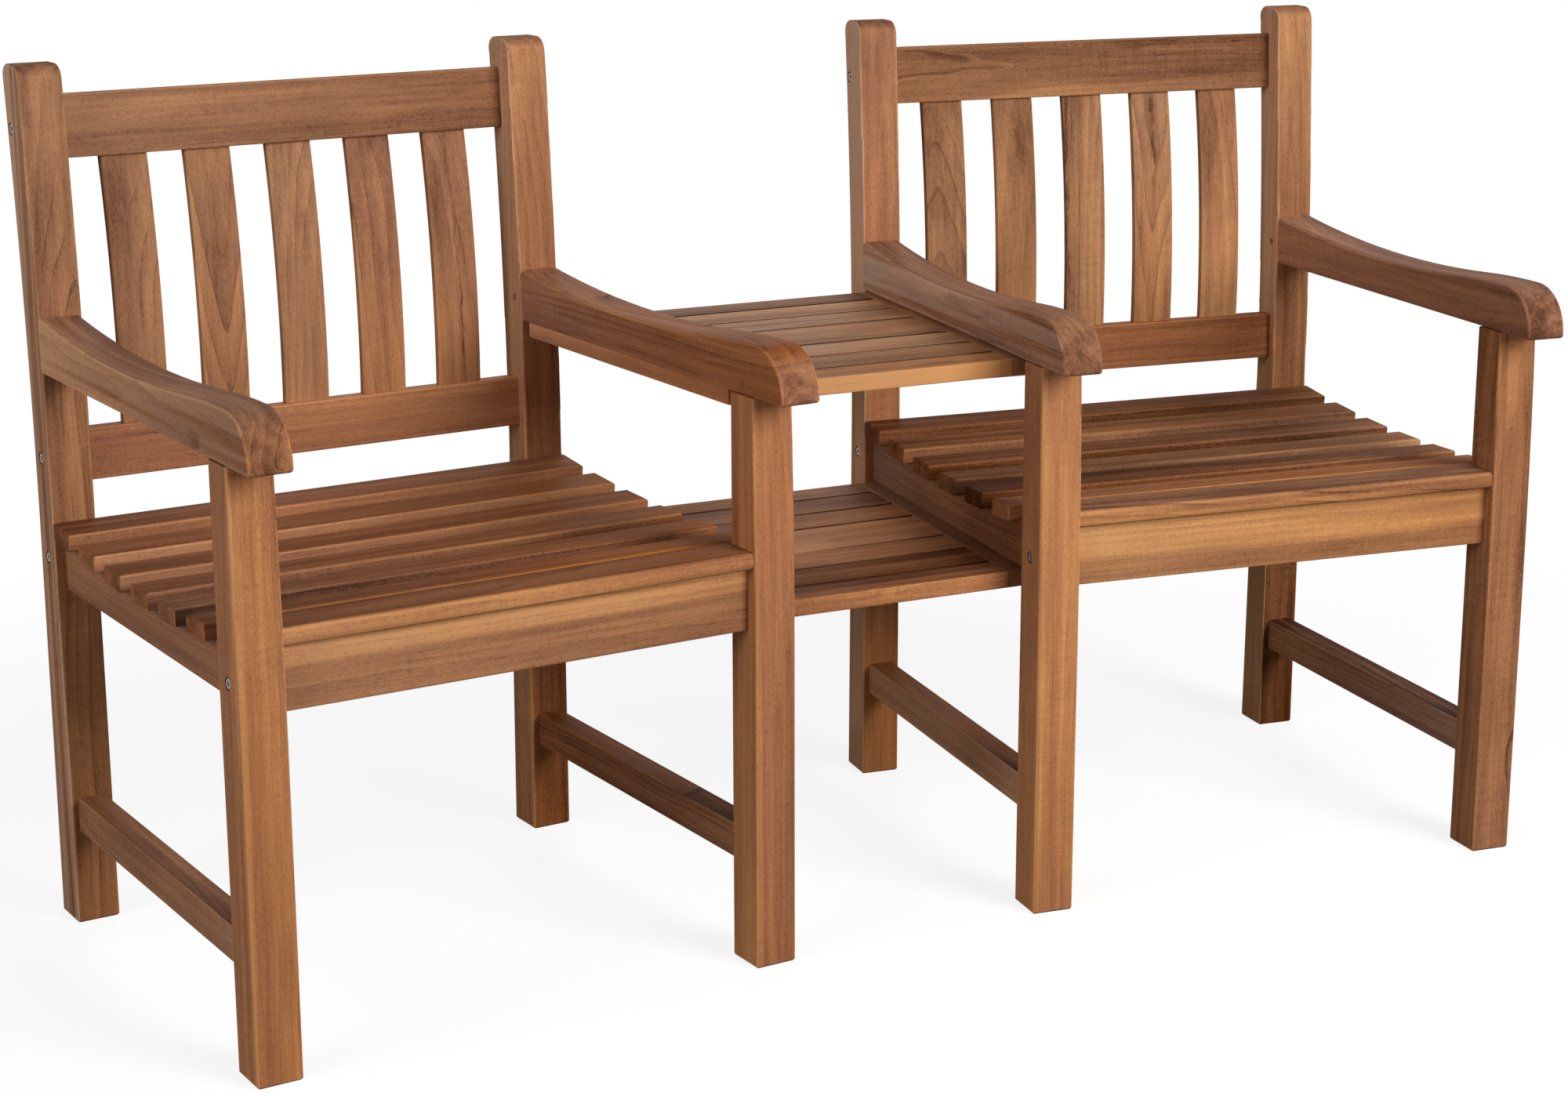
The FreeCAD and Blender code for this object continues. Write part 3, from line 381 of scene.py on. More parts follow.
def makeTeakGroup(rings, fibres, veins):
    tree, given, result = newGroup(
        "oiledTeak",
        {"Vector": None, "Arris": 0.0, "Side": 0.0, "End grain": 0.0,
         **ringLook, **veinLook, **woodLook},
        ("Colour", "Roughness", "Height"),
    )

    def passOn(group, *names):
        return placeGroup(tree, group, {name: given[name] for name in names}).outputs

    def blend(value, changes):
        # Adds to a value each mask by its share
        for mask, share in changes:
            value = addShare(tree, value, mask, share)
        return value

    def alongBoard(name, fade):
        return addShare(tree, given[name], place["X"], given[fade])

    ring = passOn(rings, "Vector", *ringLook)
    vein = passOn(veins, "Vector", "Seed", *veinLook)["Vein"]
    fibre = passOn(fibres, "Vector", "Seed")
    place = splitVector(tree, given["Vector"])
    # A strip to one side of a line along the board, paler, darker or greyer. On some boards it is
    # a glued-on strip of paler wood; on many it paints light and shade: a highlight along the
    # front edges of the seat slats and the front table slats, a lighter or darker left face on
    # some legs and posts, and a grey sheen on the left faces of some posts and arms
    turn = calc(tree, "RADIANS", given["Strip angle"])
    beside = calc(tree, "MULTIPLY", place["Y"], calc(tree, "COSINE", turn))
    beside = blend(beside, [(place["Z"], calc(tree, "SINE", turn)),
                            (fibre["Bands"], woodSetup["stripWander"])])
    low = calc(tree, "SUBTRACT", given["Strip start"], given["Strip edge"])
    high = calc(tree, "ADD", given["Strip start"], given["Strip edge"])
    strip = remap(tree, beside, low, high, smooth=True)
    # The tone is a sum of masks, and a ramp of colours gives it its hue. The board's tone and
    # fade, its side faces, its arrises and its strip also carry painted light and shade
    zones = centred(tree, ring["Zones"])
    figure = given["Figure"]
    core = remap(tree, ring["Knot"], *woodSetup["knotCore"], smooth=True)
    tone = blend(woodTones["Plain"], [
        (fibre["Bands"], calc(tree, "MULTIPLY", given["Banding"], woodTones["Bands"])),
        (fibre["Blotches"], calc(tree, "MULTIPLY", given["Mottle"], woodTones["Blotches"])),
        (fibre["Fibres"], woodTones["Fibres"]),
        (fibre["Ripple"], woodTones["Ripple"]),
        (calc(tree, "MULTIPLY", zones, figure), woodTones["Zones"]),
        (strip, given["Strip tone"]),
        (alongBoard("Tone and shading", "Fade"), 1.0),
        (vein, calc(tree, "MULTIPLY", given["Vein tone"], -1.0)),
        (calc(tree, "MULTIPLY", ring["Lines"], figure), woodTones["Lines"]),
        (fibre["Streaks"], woodTones["Streaks"]),
        (fibre["Pores"], woodTones["Pores"]),
        (core, given["Knot tone"]),
        (given["Side"], alongBoard("Side shading", "Side shading fade")),
        (given["End grain"], given["End tone"]),
        (given["Arris"], given["Arris light"]),
    ])
    ramp = addNode(tree, "ShaderNodeValToRGB", {"Fac": tone})
    ramp.color_ramp.interpolation = "B_SPLINE"
    for stop in woodSetup["stops"][2:]:
        ramp.color_ramp.elements.new(stop)
    for element, stop, colour in zip(ramp.color_ramp.elements, woodSetup["stops"],
                                     woodSetup["colours"]):
        element.position = stop
        element.color = colour + (1.0,)
    grey = blend(alongBoard("Grey and sheen", "Grey and sheen fade"), [
        (strip, given["Strip sheen"]),
        (given["Side"], given["Side sheen"]),
        (given["End grain"], given["End grey"]),
    ])
    colour = addNode(tree, "ShaderNodeHueSaturation",
                     {"Hue": calc(tree, "SUBTRACT", 0.5, given["Red"]),
                      "Saturation": calc(tree, "SUBTRACT", 1.0, grey),
                      "Color": ramp.outputs["Color"]})
    rough = woodSetup["roughness"]
    roughness = blend(rough["Plain"], [(fibre["Fibres"], rough["Fibres"]),
                                       (given["End grain"], rough["End grain"]),
                                       (given["Arris"], rough["Arris"])])
    height = blend(fibre["Fibres"], [(fibre["Pores"], woodSetup["height"]["Pores"]),
                                     (ring["Lines"], woodSetup["height"]["Lines"])])
    joinSocket(tree, colour.outputs["Color"], result["Colour"])
    joinSocket(tree, roughness, result["Roughness"])
    joinSocket(tree, height, result["Height"])
    return tree


edgeGroup = makeEdgeGroup()
teakGroup = makeTeakGroup(makeRingGroup(), makeFibreGroup(), makeVeinGroup())
print("node groups ready")


# Boards: which way each one's grain runs, and its own material

def boardAxes(direction, turn):
    # Columns are the board's length, its width and its depth in the bench's frame
    lengthways = Matrix.Rotation(math.radians(turn), 3, "Z")
    if direction == "across":
        return lengthways
    if direction == "back":
        return Matrix.Rotation(math.radians(turn + 90), 3, "Z")
    upright = Matrix(((0, 1, 0), (0, 0, 1), (1, 0, 0)))
    return lengthways @ upright


def middleOf(points):
    low = Vector([min(point[i] for point in points) for i in range(3)])
    high = Vector([max(point[i] for point in points) for i in range(3)])
    return (low + high) / 2


def boardMiddle(points, axes):
    # Middle of a board in the bench's frame, from the points of its mesh
    inverse = axes.transposed()
    return axes @ middleOf([inverse @ point for point in points])


boardSurface = {
    "bump": 0.35,
    "bumpDepth": 0.0004,
    "gloss": 0.025,
}


def makeBoardMaterial(name, centre, axes, look):
    material = bpy.data.materials.new(name)
    material.use_nodes = True
    tree = material.node_tree
    tree.nodes.clear()
    turned = axes.to_4x4().to_euler("XYZ")
    where = addNode(tree, "ShaderNodeTexCoord").outputs
    mapping = addNode(tree, "ShaderNodeMapping",
                      {"Vector": where["Object"], "Location": centre, "Rotation": turned},
                      vector_type="TEXTURE")
    facing = addNode(tree, "ShaderNodeMapping", {"Vector": where["Normal"], "Rotation": turned},
                     vector_type="TEXTURE")
    edges = placeGroup(tree, edgeGroup, {"Normal": facing.outputs[0]}).outputs
    masks = {mask: edges[mask] for mask in edgeSetup}
    teak = placeGroup(tree, teakGroup, {"Vector": mapping.outputs[0], **masks, **look}).outputs
    bump = addNode(tree, "ShaderNodeBump",
                   {"Height": teak["Height"], "Strength": boardSurface["bump"],
                    "Distance": boardSurface["bumpDepth"]})
    shader = addNode(tree, "ShaderNodeBsdfPrincipled",
                     {"Base Color": teak["Colour"], "Roughness": teak["Roughness"],
                      "Specular IOR Level": boardSurface["gloss"], "Normal": bump.outputs[0]})
    output = tree.nodes.new("ShaderNodeOutputMaterial")
    tree.links.new(shader.outputs[0], output.inputs["Surface"])
    return material


def dressPiece(name, *materials):
    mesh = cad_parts[name].data
    mesh.materials.clear()
    for material in materials:
        mesh.materials.append(material)


def dressBoard(node, direction, turn, look):
    # One board for the whole node
    axes = boardAxes(direction, turn)
    centre = boardMiddle([vertex.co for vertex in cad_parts[node].data.vertices], axes)
    dressPiece(node, makeBoardMaterial(node + "Wood", centre, axes, look))


def dressBoards(node, direction, turn, looks, boardNumber):
    # Several boards in one node: a function of a point's place tells them apart
    axes = boardAxes(direction, turn)
    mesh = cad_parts[node].data
    members = [[] for _ in looks]
    numbers = [boardNumber(axes.transposed() @ face.center) for face in mesh.polygons]
    for face, number in zip(mesh.polygons, numbers):
        members[number].extend(mesh.vertices[index].co for index in face.vertices)
    names = [node + "Wood" + str(number) for number in range(1, len(looks) + 1)]
    dressPiece(node, *[makeBoardMaterial(name, boardMiddle(points, axes), axes, look)
                       for name, points, look in zip(names, members, looks)])
    for face, number in zip(mesh.polygons, numbers):
        face.material_index = number


# Upright boards: their own X runs up, Y across the bench and Z back
legLooks = {
    "left_outer": {"Seed": 3.0, "Pith across": 0.06, "Pith deep": -0.05, "Taper": 0.012,
                   "Ring width": 0.009, "Figure": 0.7, "Strip angle": 270, "Strip start": 0.019,
                   "Strip tone": 0.22, "Tone and shading": -0.01, "Fade": -0.15, "Side shading": 0.05,
                   "Grey and sheen": -0.04, "Grey and sheen fade": 0.05, "Side sheen": 0.03, "Red": 0.0036},
    "left_table": {"Seed": 6.3, "Pith across": -0.1, "Taper": 0.004, "Ring width": 0.01,
                   "Figure": 0.5, "Strip angle": 180, "Strip start": 0.017, "Strip edge": 0.002,
                   "Strip tone": 0.1, "Tone and shading": 0.1, "Fade": 0.23, "Side shading": 0.02,
                   "Side shading fade": -0.61, "Grey and sheen": -0.03, "Red": 0.0042},
    "right_table": {"Seed": 9.1, "Pith across": 0.11, "Taper": 0.005, "Ring width": 0.011,
                    "Figure": 0.4, "Strip angle": 180, "Strip start": 0.0225, "Strip edge": 0.0005,
                    "Strip tone": -0.14, "Tone and shading": 0.19, "Fade": 0.28, "Side shading": 0.15,
                    "Side shading fade": -0.58, "Grey and sheen": -0.03, "Grey and sheen fade": 0.03, "Side sheen": 0.02,
                    "Red": 0.0028},
    "right_outer": {"Seed": 12.7, "Pith across": 0.01, "Pith deep": -0.06, "Taper": 0.035,
                    "Ring width": 0.01, "Wander": 0.009, "Figure": 1.0, "Tone and shading": 0.03, "Fade": 0.09,
                    "Side shading": -0.08, "Side shading fade": -0.33, "Grey and sheen": -0.02, "Grey and sheen fade": -0.04,
                    "Side sheen": -0.01},
}
# the back posts' fades paint shade on their lower ends under the seat
postLooks = {
    "left_outer": {"Seed": 15.2, "Pith across": 0.02, "Pith deep": -0.05, "Taper": 0.02,
                   "Ring width": 0.009, "Figure": 0.8, "Strip angle": 180, "Strip start": 0.0225,
                   "Strip edge": 0.0005, "Strip tone": 0.1, "Strip sheen": 0.22, "Fade": 0.13,
                   "Side shading": 0.08, "Side shading fade": 0.09, "Grey and sheen fade": 0.12, "Side sheen": -0.02},
    "left_table": {"Seed": 18.9, "Pith across": -0.07, "Taper": 0.006, "Ring width": 0.009,
                   "Tone and shading": -0.02, "Fade": 0.37, "Side shading": 0.17, "Side shading fade": -0.09,
                   "Grey and sheen": -0.05, "Grey and sheen fade": 0.17, "Side sheen": 0.11, "Red": 0.002},
    "right_table": {"Seed": 21.4, "Pith across": 0.1, "Taper": 0.004, "Ring width": 0.01,
                    "Figure": 0.4, "Strip angle": 180, "Strip start": 0.0225, "Strip edge": 0.0005,
                    "Strip tone": 0.18, "Strip sheen": 0.24, "Tone and shading": 0.04, "Side shading": 0.44,
                    "Grey and sheen": -0.03, "Grey and sheen fade": 0.14, "Side sheen": -0.05, "Red": 0.0037},
    "right_outer": {"Seed": 24.6, "Pith across": -0.1, "Taper": 0.005, "Ring width": 0.01,
                    "Figure": 0.4, "Tone and shading": -0.11, "Fade": 0.66, "Side shading": 0.54,
                    "Side shading fade": -0.86, "Grey and sheen": -0.03, "Grey and sheen fade": 0.12, "Side sheen": 0.11},
}

# Boards that run back: their own X runs back, Y towards the left and Z up
armLooks = {
    "left_outer": {"Seed": 27.8, "Pith across": -0.04, "Pith deep": -0.01, "Taper": -0.05,
                   "Ring width": 0.01, "Strip start": 0.0218, "Strip edge": 0.0005, "Strip tone": 0.06,
                   "Strip sheen": 0.13, "Tone and shading": -0.13, "Fade": 0.34, "Side shading": 0.22,
                   "Side shading fade": 0.19, "End tone": 0.12, "Grey and sheen": 0.07, "Grey and sheen fade": -0.05,
                   "Side sheen": -0.1, "End grey": -0.09, "Red": 0.0012},
    "left_table": {"Seed": 30.3, "Pith across": -0.02, "Taper": 0.012, "Ring width": 0.008,
                   "Tone and shading": -0.1, "Fade": 0.25, "Side shading": 0.06, "Side shading fade": -0.47,
                   "End tone": 0.14, "Grey and sheen": -0.06, "Grey and sheen fade": 0.32, "Side sheen": 0.06,
                   "End grey": 0.17, "Red": 0.0036},
    "right_table": {"Seed": 33.5, "Pith across": -0.05, "Pith deep": 0.03, "Taper": 0.02,
                    "Ring width": 0.008, "Figure": 0.5, "Strip start": 0.0218, "Strip edge": 0.0005,
                    "Strip tone": 0.08, "Strip sheen": 0.24, "Tone and shading": -0.06, "Fade": -0.25,
                    "Side shading": 0.11, "Side shading fade": 0.77, "End tone": -0.18, "Grey and sheen": 0.07,
                    "Grey and sheen fade": 0.17, "Side sheen": -0.05, "End grey": 0.01, "Red": 0.0023},
    "right_outer": {"Seed": 36.1, "Pith across": -0.03, "Pith deep": -0.05, "Taper": 0.02,
                    "Ring width": 0.008, "Figure": 0.5, "Tone and shading": -0.05, "Fade": 0.26,
                    "Side shading": 0.04, "Side shading fade": -0.09, "End tone": -0.15, "Grey and sheen": 0.14,
                    "Grey and sheen fade": 0.06, "Side sheen": -0.08, "End grey": -0.07, "Red": 0.003},
}
sideRailLooks = {
    "left_outer": {"Seed": 39.4, "Figure": 0.4, "Fade": -0.11, "Grey and sheen": 0.02, "Red": 0.0021},
    "left_table": {"Seed": 42.2, "Figure": 0.4, "Tone and shading": -0.05},
    "right_table": {"Seed": 45.7, "Figure": 0.4, "Tone and shading": -0.08, "Fade": 0.32, "Grey and sheen": 0.05,
                    "Grey and sheen fade": 0.4},
    "right_outer": {"Seed": 48.3, "Figure": 0.4},
}
stretcherLooks = {
    "left_outer": {"Seed": 51.9, "Pith across": -0.06, "Pith deep": 0.01, "Taper": 0.04,
                   "Figure": 0.7, "Tone and shading": -0.11, "Fade": 0.61, "Side shading": 0.15,
                   "Side shading fade": -0.88, "Grey and sheen": 0.01, "Grey and sheen fade": -0.21, "Side sheen": 0.02},
    "left_table": {"Seed": 54.5, "Tone and shading": -0.23, "Fade": 0.73, "Side shading": 0.12,
                   "Side shading fade": -0.87, "Grey and sheen": -0.08, "Grey and sheen fade": -0.26, "Side sheen": 0.04,
                   "Red": 0.0019},
    "right_table": {"Seed": 57.2, "Figure": 0.5, "Tone and shading": -0.18, "Fade": 0.9, "Side shading": 0.54,
                    "Side shading fade": -0.8, "Grey and sheen": -0.06, "Grey and sheen fade": -0.13, "Side sheen": 0.15,
                    "Red": 0.0034},
    "right_outer": {"Seed": 60.6, "Pith across": -0.05, "Figure": 0.8, "Tone and shading": -0.42,
                    "Fade": -0.35, "Side shading": 0.54, "Side shading fade": 0.93, "Grey and sheen": 0.02,
                    "Grey and sheen fade": -0.3, "Side sheen": 0.07, "Red": 0.0028},
}

for side, turn in chairTurn.items():
    for end in ("outer", "table"):
        place = side + "_" + end
        dressBoard(place + "_front_leg", "up", turn, legLooks[place])
        dressBoard(place + "_back_post", "up", turn, postLooks[place])
        dressBoard(place + "_arm", "back", turn, armLooks[place])
        dressBoard(place + "_seat_rail", "back", turn, sideRailLooks[place])
        dressBoard(place + "_stretcher", "back", turn, stretcherLooks[place])

# Boards that run across: their own X runs to the right, Y back and Z up
crossLooks = {
    "left_top_rail": {"Seed": 63.3, "Pith across": -0.05, "Pith deep": 0.02, "Taper": 0.012,
                      "Ring width": 0.012, "Figure": 0.5, "Strip angle": 90, "Strip start": -0.002,
                      "Strip edge": 0.014, "Strip tone": 0.12, "Tone and shading": -0.05, "Fade": -0.27,
                      "Grey and sheen": 0.04, "Grey and sheen fade": -0.14},
    "left_lower_back_rail": {"Seed": 66.8, "Pith deep": 0.09, "Taper": 0.01, "Ring width": 0.008,
                             "Figure": 0.5, "Tone and shading": 0.16, "Fade": 0.69, "Grey and sheen fade": -0.01,
                             "Red": 0.0055},
    "left_front_rail": {"Seed": 69.1, "Pith deep": -0.12, "Taper": 0.01, "Ring width": 0.009,
                        "Strip angle": 90, "Strip start": 0.009, "Strip tone": 0.32, "Tone and shading": 0.06,
                        "Fade": -0.25, "Grey and sheen": 0.01, "Grey and sheen fade": -0.08},
    "left_rear_rail": {"Seed": 72.4},
    "left_front_slat": {"Seed": 75.6, "Pith deep": -0.06, "Taper": 0.02, "Ring width": 0.009,
                        "Figure": 0.7, "Strip angle": 180, "Strip start": 0.024, "Strip edge": 0.003,
                        "Strip tone": 0.22, "Tone and shading": -0.14, "Fade": -0.03, "Side shading": 0.03,
                        "Side shading fade": -0.58, "Grey and sheen": -0.07, "Grey and sheen fade": -0.08, "Side sheen": 0.05,
                        "Red": 0.0014},
    "right_top_rail": {"Seed": 78.9, "Pith across": -0.06, "Pith deep": 0.01, "Taper": 0.02,
                       "Ring width": 0.01, "Figure": 0.9, "Strip angle": 270, "Strip start": 0.022,
                       "Strip edge": 0.003, "Strip tone": 0.22, "Tone and shading": -0.11, "Fade": -0.6,
                       "Grey and sheen": 0.01, "Red": -0.0023},
    "right_lower_back_rail": {"Seed": 81.2, "Pith deep": 0.08, "Taper": 0.01, "Ring width": 0.008,
                              "Figure": 0.5, "Tone and shading": 0.05, "Fade": -0.59, "Grey and sheen": -0.05,
                              "Grey and sheen fade": -0.13, "Red": 0.0044},
    "right_front_rail": {"Seed": 84.7, "Pith deep": -0.12, "Taper": 0.008, "Ring width": 0.009,
                         "Figure": 0.5, "Strip angle": 90, "Strip start": -0.008, "Strip edge": 0.006,
                         "Strip tone": 0.2, "Tone and shading": 0.07, "Fade": -0.37, "Grey and sheen": -0.02,
                         "Grey and sheen fade": -0.1, "Red": -0.0026},
    "right_rear_rail": {"Seed": 87.1},
    "right_front_slat": {"Seed": 90.4, "Pith across": -0.03, "Pith deep": -0.03, "Taper": 0.05,
                         "Ring width": 0.009, "Figure": 1.0, "Strip angle": 180, "Strip start": 0.024,
                         "Strip tone": 0.2, "Tone and shading": -0.07, "Fade": -0.11, "Side shading": 0.03,
                         "Side shading fade": -0.74, "Grey and sheen": 0.02, "Side sheen": -0.05, "Red": -0.0015},
}

for side, turn in chairTurn.items():
    for part in ("top_rail", "lower_back_rail", "front_rail", "rear_rail", "front_slat"):
        dressBoard(side + "_" + part, "across", turn, crossLooks[side + "_" + part])


def slatLook(slats, number, firstSeed, special):
    # A slat's look by its number: its seed sets the figure, and a look of its own goes over all
    seed = number * slats["seedStep"] + firstSeed
    return {"Seed": seed, "Pith across": slats["pithReach"] * math.cos(seed),
            "Taper": slats["lean"] * math.sin(seed), **slats["look"], **special}


# Seat slats, from the front one to the rear one, each with a painted highlight along its front
# edge
seatSlats = {
    "seedStep": 5.3,
    "pithReach": 0.06,
    "lean": 0.02,
    "look": {"Figure": 0.5, "Strip angle": 180, "Strip start": 0.019, "Strip edge": 0.003,
             "Strip tone": 0.1, "End tone": 0.1},
}
# the mostly negative tones are partly painted shade that darkens the seat tops
seatLooks = {
    "left": [
        {"Tone and shading": -0.15, "Fade": 0.33, "Grey and sheen": -0.12, "Grey and sheen fade": -0.26, "Red": 0.0039},
        {"Tone and shading": -0.08, "Fade": 0.53, "Side shading": -0.3, "Side shading fade": 0.58, "Grey and sheen": -0.08,
         "Grey and sheen fade": -0.33, "Side sheen": 0.11, "Red": 0.0024},
        {"Tone and shading": -0.15, "Fade": 0.22, "Side shading": -0.15, "Side shading fade": -0.11, "Grey and sheen": -0.08,
         "Grey and sheen fade": -0.14, "Side sheen": 0.08, "Red": 0.0016},
        {"Tone and shading": -0.13, "Fade": 0.24, "Side shading": 0.15, "Side shading fade": -0.18, "Grey and sheen": -0.08,
         "Grey and sheen fade": -0.15, "Side sheen": 0.09, "Red": 0.0029},
        {"Tone and shading": 0.04, "Fade": 0.46, "Side shading": 0.11, "Side shading fade": -0.55, "Grey and sheen": -0.08,
         "Grey and sheen fade": -0.1, "Side sheen": 0.11, "Red": 0.0022},
        {"Tone and shading": -0.09, "Fade": 0.62, "Side shading": 0.12, "Side shading fade": -0.23, "Grey and sheen": -0.03,
         "Side sheen": 0.03, "Red": 0.0033},
    ],
    "right": [
        {"Tone and shading": 0.04, "Grey and sheen": -0.08, "Grey and sheen fade": -0.16, "Red": 0.0034},
        {"Tone and shading": -0.35, "Fade": 0.57, "Grey and sheen": -0.06, "Grey and sheen fade": 0.15},
        {"Tone and shading": -0.17, "Fade": 0.58, "Side shading": -0.18, "Side shading fade": 0.78, "Grey and sheen": -0.01,
         "Grey and sheen fade": 0.04, "Side sheen": 0.07, "Red": -0.0048},
        {"Tone and shading": -0.2, "Fade": 0.12, "Side shading": -0.23, "Side shading fade": 0.05, "Grey and sheen": -0.01,
         "Grey and sheen fade": 0.18, "Side sheen": -0.04, "Red": -0.0019},
        {"Tone and shading": -0.16, "Fade": 0.24, "Side shading": -0.17, "Side shading fade": -0.47, "Grey and sheen": -0.06,
         "Grey and sheen fade": 0.12, "Side sheen": 0.07, "Red": -0.0022},
        {"Tone and shading": -0.29, "Side shading": -0.16, "Side shading fade": -0.15, "Grey and sheen": -0.05, "Grey and sheen fade": 0.08,
         "Red": -0.0017},
    ],
}

for side, turn in chairTurn.items():
    for number, special in enumerate(seatLooks[side], start=1):
        look = slatLook(seatSlats, number, turn, special)
        dressBoard(side + "_seat_slat_" + str(number), "across", turn, look)

# Back slats, from the left one to the right one
slatPitch = 0.092
backSlatLooks = {
    "left": [
        {"Seed": 1.9, "Pith across": 0.08, "Taper": 0.01, "Ring width": 0.01, "Figure": 0.5,
         "Tone and shading": 0.06, "Fade": -0.32, "Grey and sheen": 0.05, "Grey and sheen fade": -0.01},
        {"Seed": 5.4, "Pith across": 0.002, "Pith deep": -0.024, "Taper": -0.24,
         "Ring width": 0.016, "Steady": 0.35, "Figure": 0.8, "Tone and shading": 0.15, "Grey and sheen": 0.03,
         "Grey and sheen fade": 0.1},
        {"Seed": 8.2, "Pith across": 0.05, "Pith deep": -0.04, "Ring width": 0.009,
         "Wander": 0.008, "Figure": 0.7, "Tone and shading": 0.16, "Fade": -0.83, "Grey and sheen": 0.05,
         "Grey and sheen fade": 0.11},
        {"Seed": 11.7, "Pith across": 0.12, "Pith deep": -0.02, "Taper": -0.08,
         "Ring width": 0.016, "Tone and shading": 0.01, "Fade": -1.11, "Grey and sheen": 0.02, "Grey and sheen fade": 0.18,
         "Red": 0.0029},
        {"Seed": 14.3, "Pith across": -0.09, "Taper": 0.01, "Ring width": 0.01,
         "Vein along": -0.06, "Vein length": 0.1, "Vein across": 0.004, "Vein width": 0.0014,
         "Vein tone": 0.4, "Tone and shading": 0.05, "Fade": -1.2, "Grey and sheen": 0.02, "Grey and sheen fade": 0.18,
         "Red": 0.0024},
    ],
    "right": [
        {"Seed": 17.6, "Pith across": -0.012, "Pith deep": -0.03, "Taper": 0.18,
         "Ring width": 0.016, "Steady": 0.25, "Tone and shading": -0.08, "Fade": -0.34, "Grey and sheen": 0.03,
         "Grey and sheen fade": -0.11, "Red": -0.0042},
        {"Seed": 20.1, "Pith across": 0.08, "Taper": 0.01, "Ring width": 0.01, "Figure": 0.5,
         "Tone and shading": 0.04, "Fade": -0.99, "Grey and sheen": 0.01, "Grey and sheen fade": 0.06, "Red": -0.0036},
        {"Seed": 23.8, "Pith across": 0.05, "Pith deep": -0.03, "Taper": -0.02,
         "Ring width": 0.009, "Figure": 0.8, "Vein along": 0.02, "Vein length": 0.16,
         "Vein across": -0.024, "Vein width": 0.002, "Vein tone": 0.4, "Tone and shading": 0.03, "Fade": -0.22,
         "Grey and sheen": 0.03, "Grey and sheen fade": 0.05, "Red": -0.0038},
        {"Seed": 26.5, "Pith across": 0.004, "Pith deep": -0.014, "Taper": -0.16,
         "Ring width": 0.016, "Wander": 0.014, "Steady": 0.35, "Figure": 0.7, "Vein along": 0.09,
         "Vein length": 0.07, "Vein across": 0.001, "Vein width": 0.0035, "Vein tone": 0.4,
         "Tone and shading": 0.09, "Fade": 0.38, "Grey and sheen": 0.02, "Grey and sheen fade": 0.31, "Red": -0.003},
        {"Seed": 29.2, "Pith across": -0.08, "Taper": 0.01, "Ring width": 0.012, "Figure": 0.5,
         "Tone and shading": 0.12, "Fade": -0.87, "Grey and sheen": 0.01},
    ],
}

for side, turn in chairTurn.items():
    centre = sum(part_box(side + "_back_slats"), Vector()) / 2
    middle = (boardAxes("up", turn).transposed() @ centre)[1]
    middleSlat = len(backSlatLooks[side]) // 2
    dressBoards(side + "_back_slats", "up", turn, backSlatLooks[side],
                lambda point: round((point[1] - middle) / slatPitch) + middleSlat)
print("dressed the chairs")

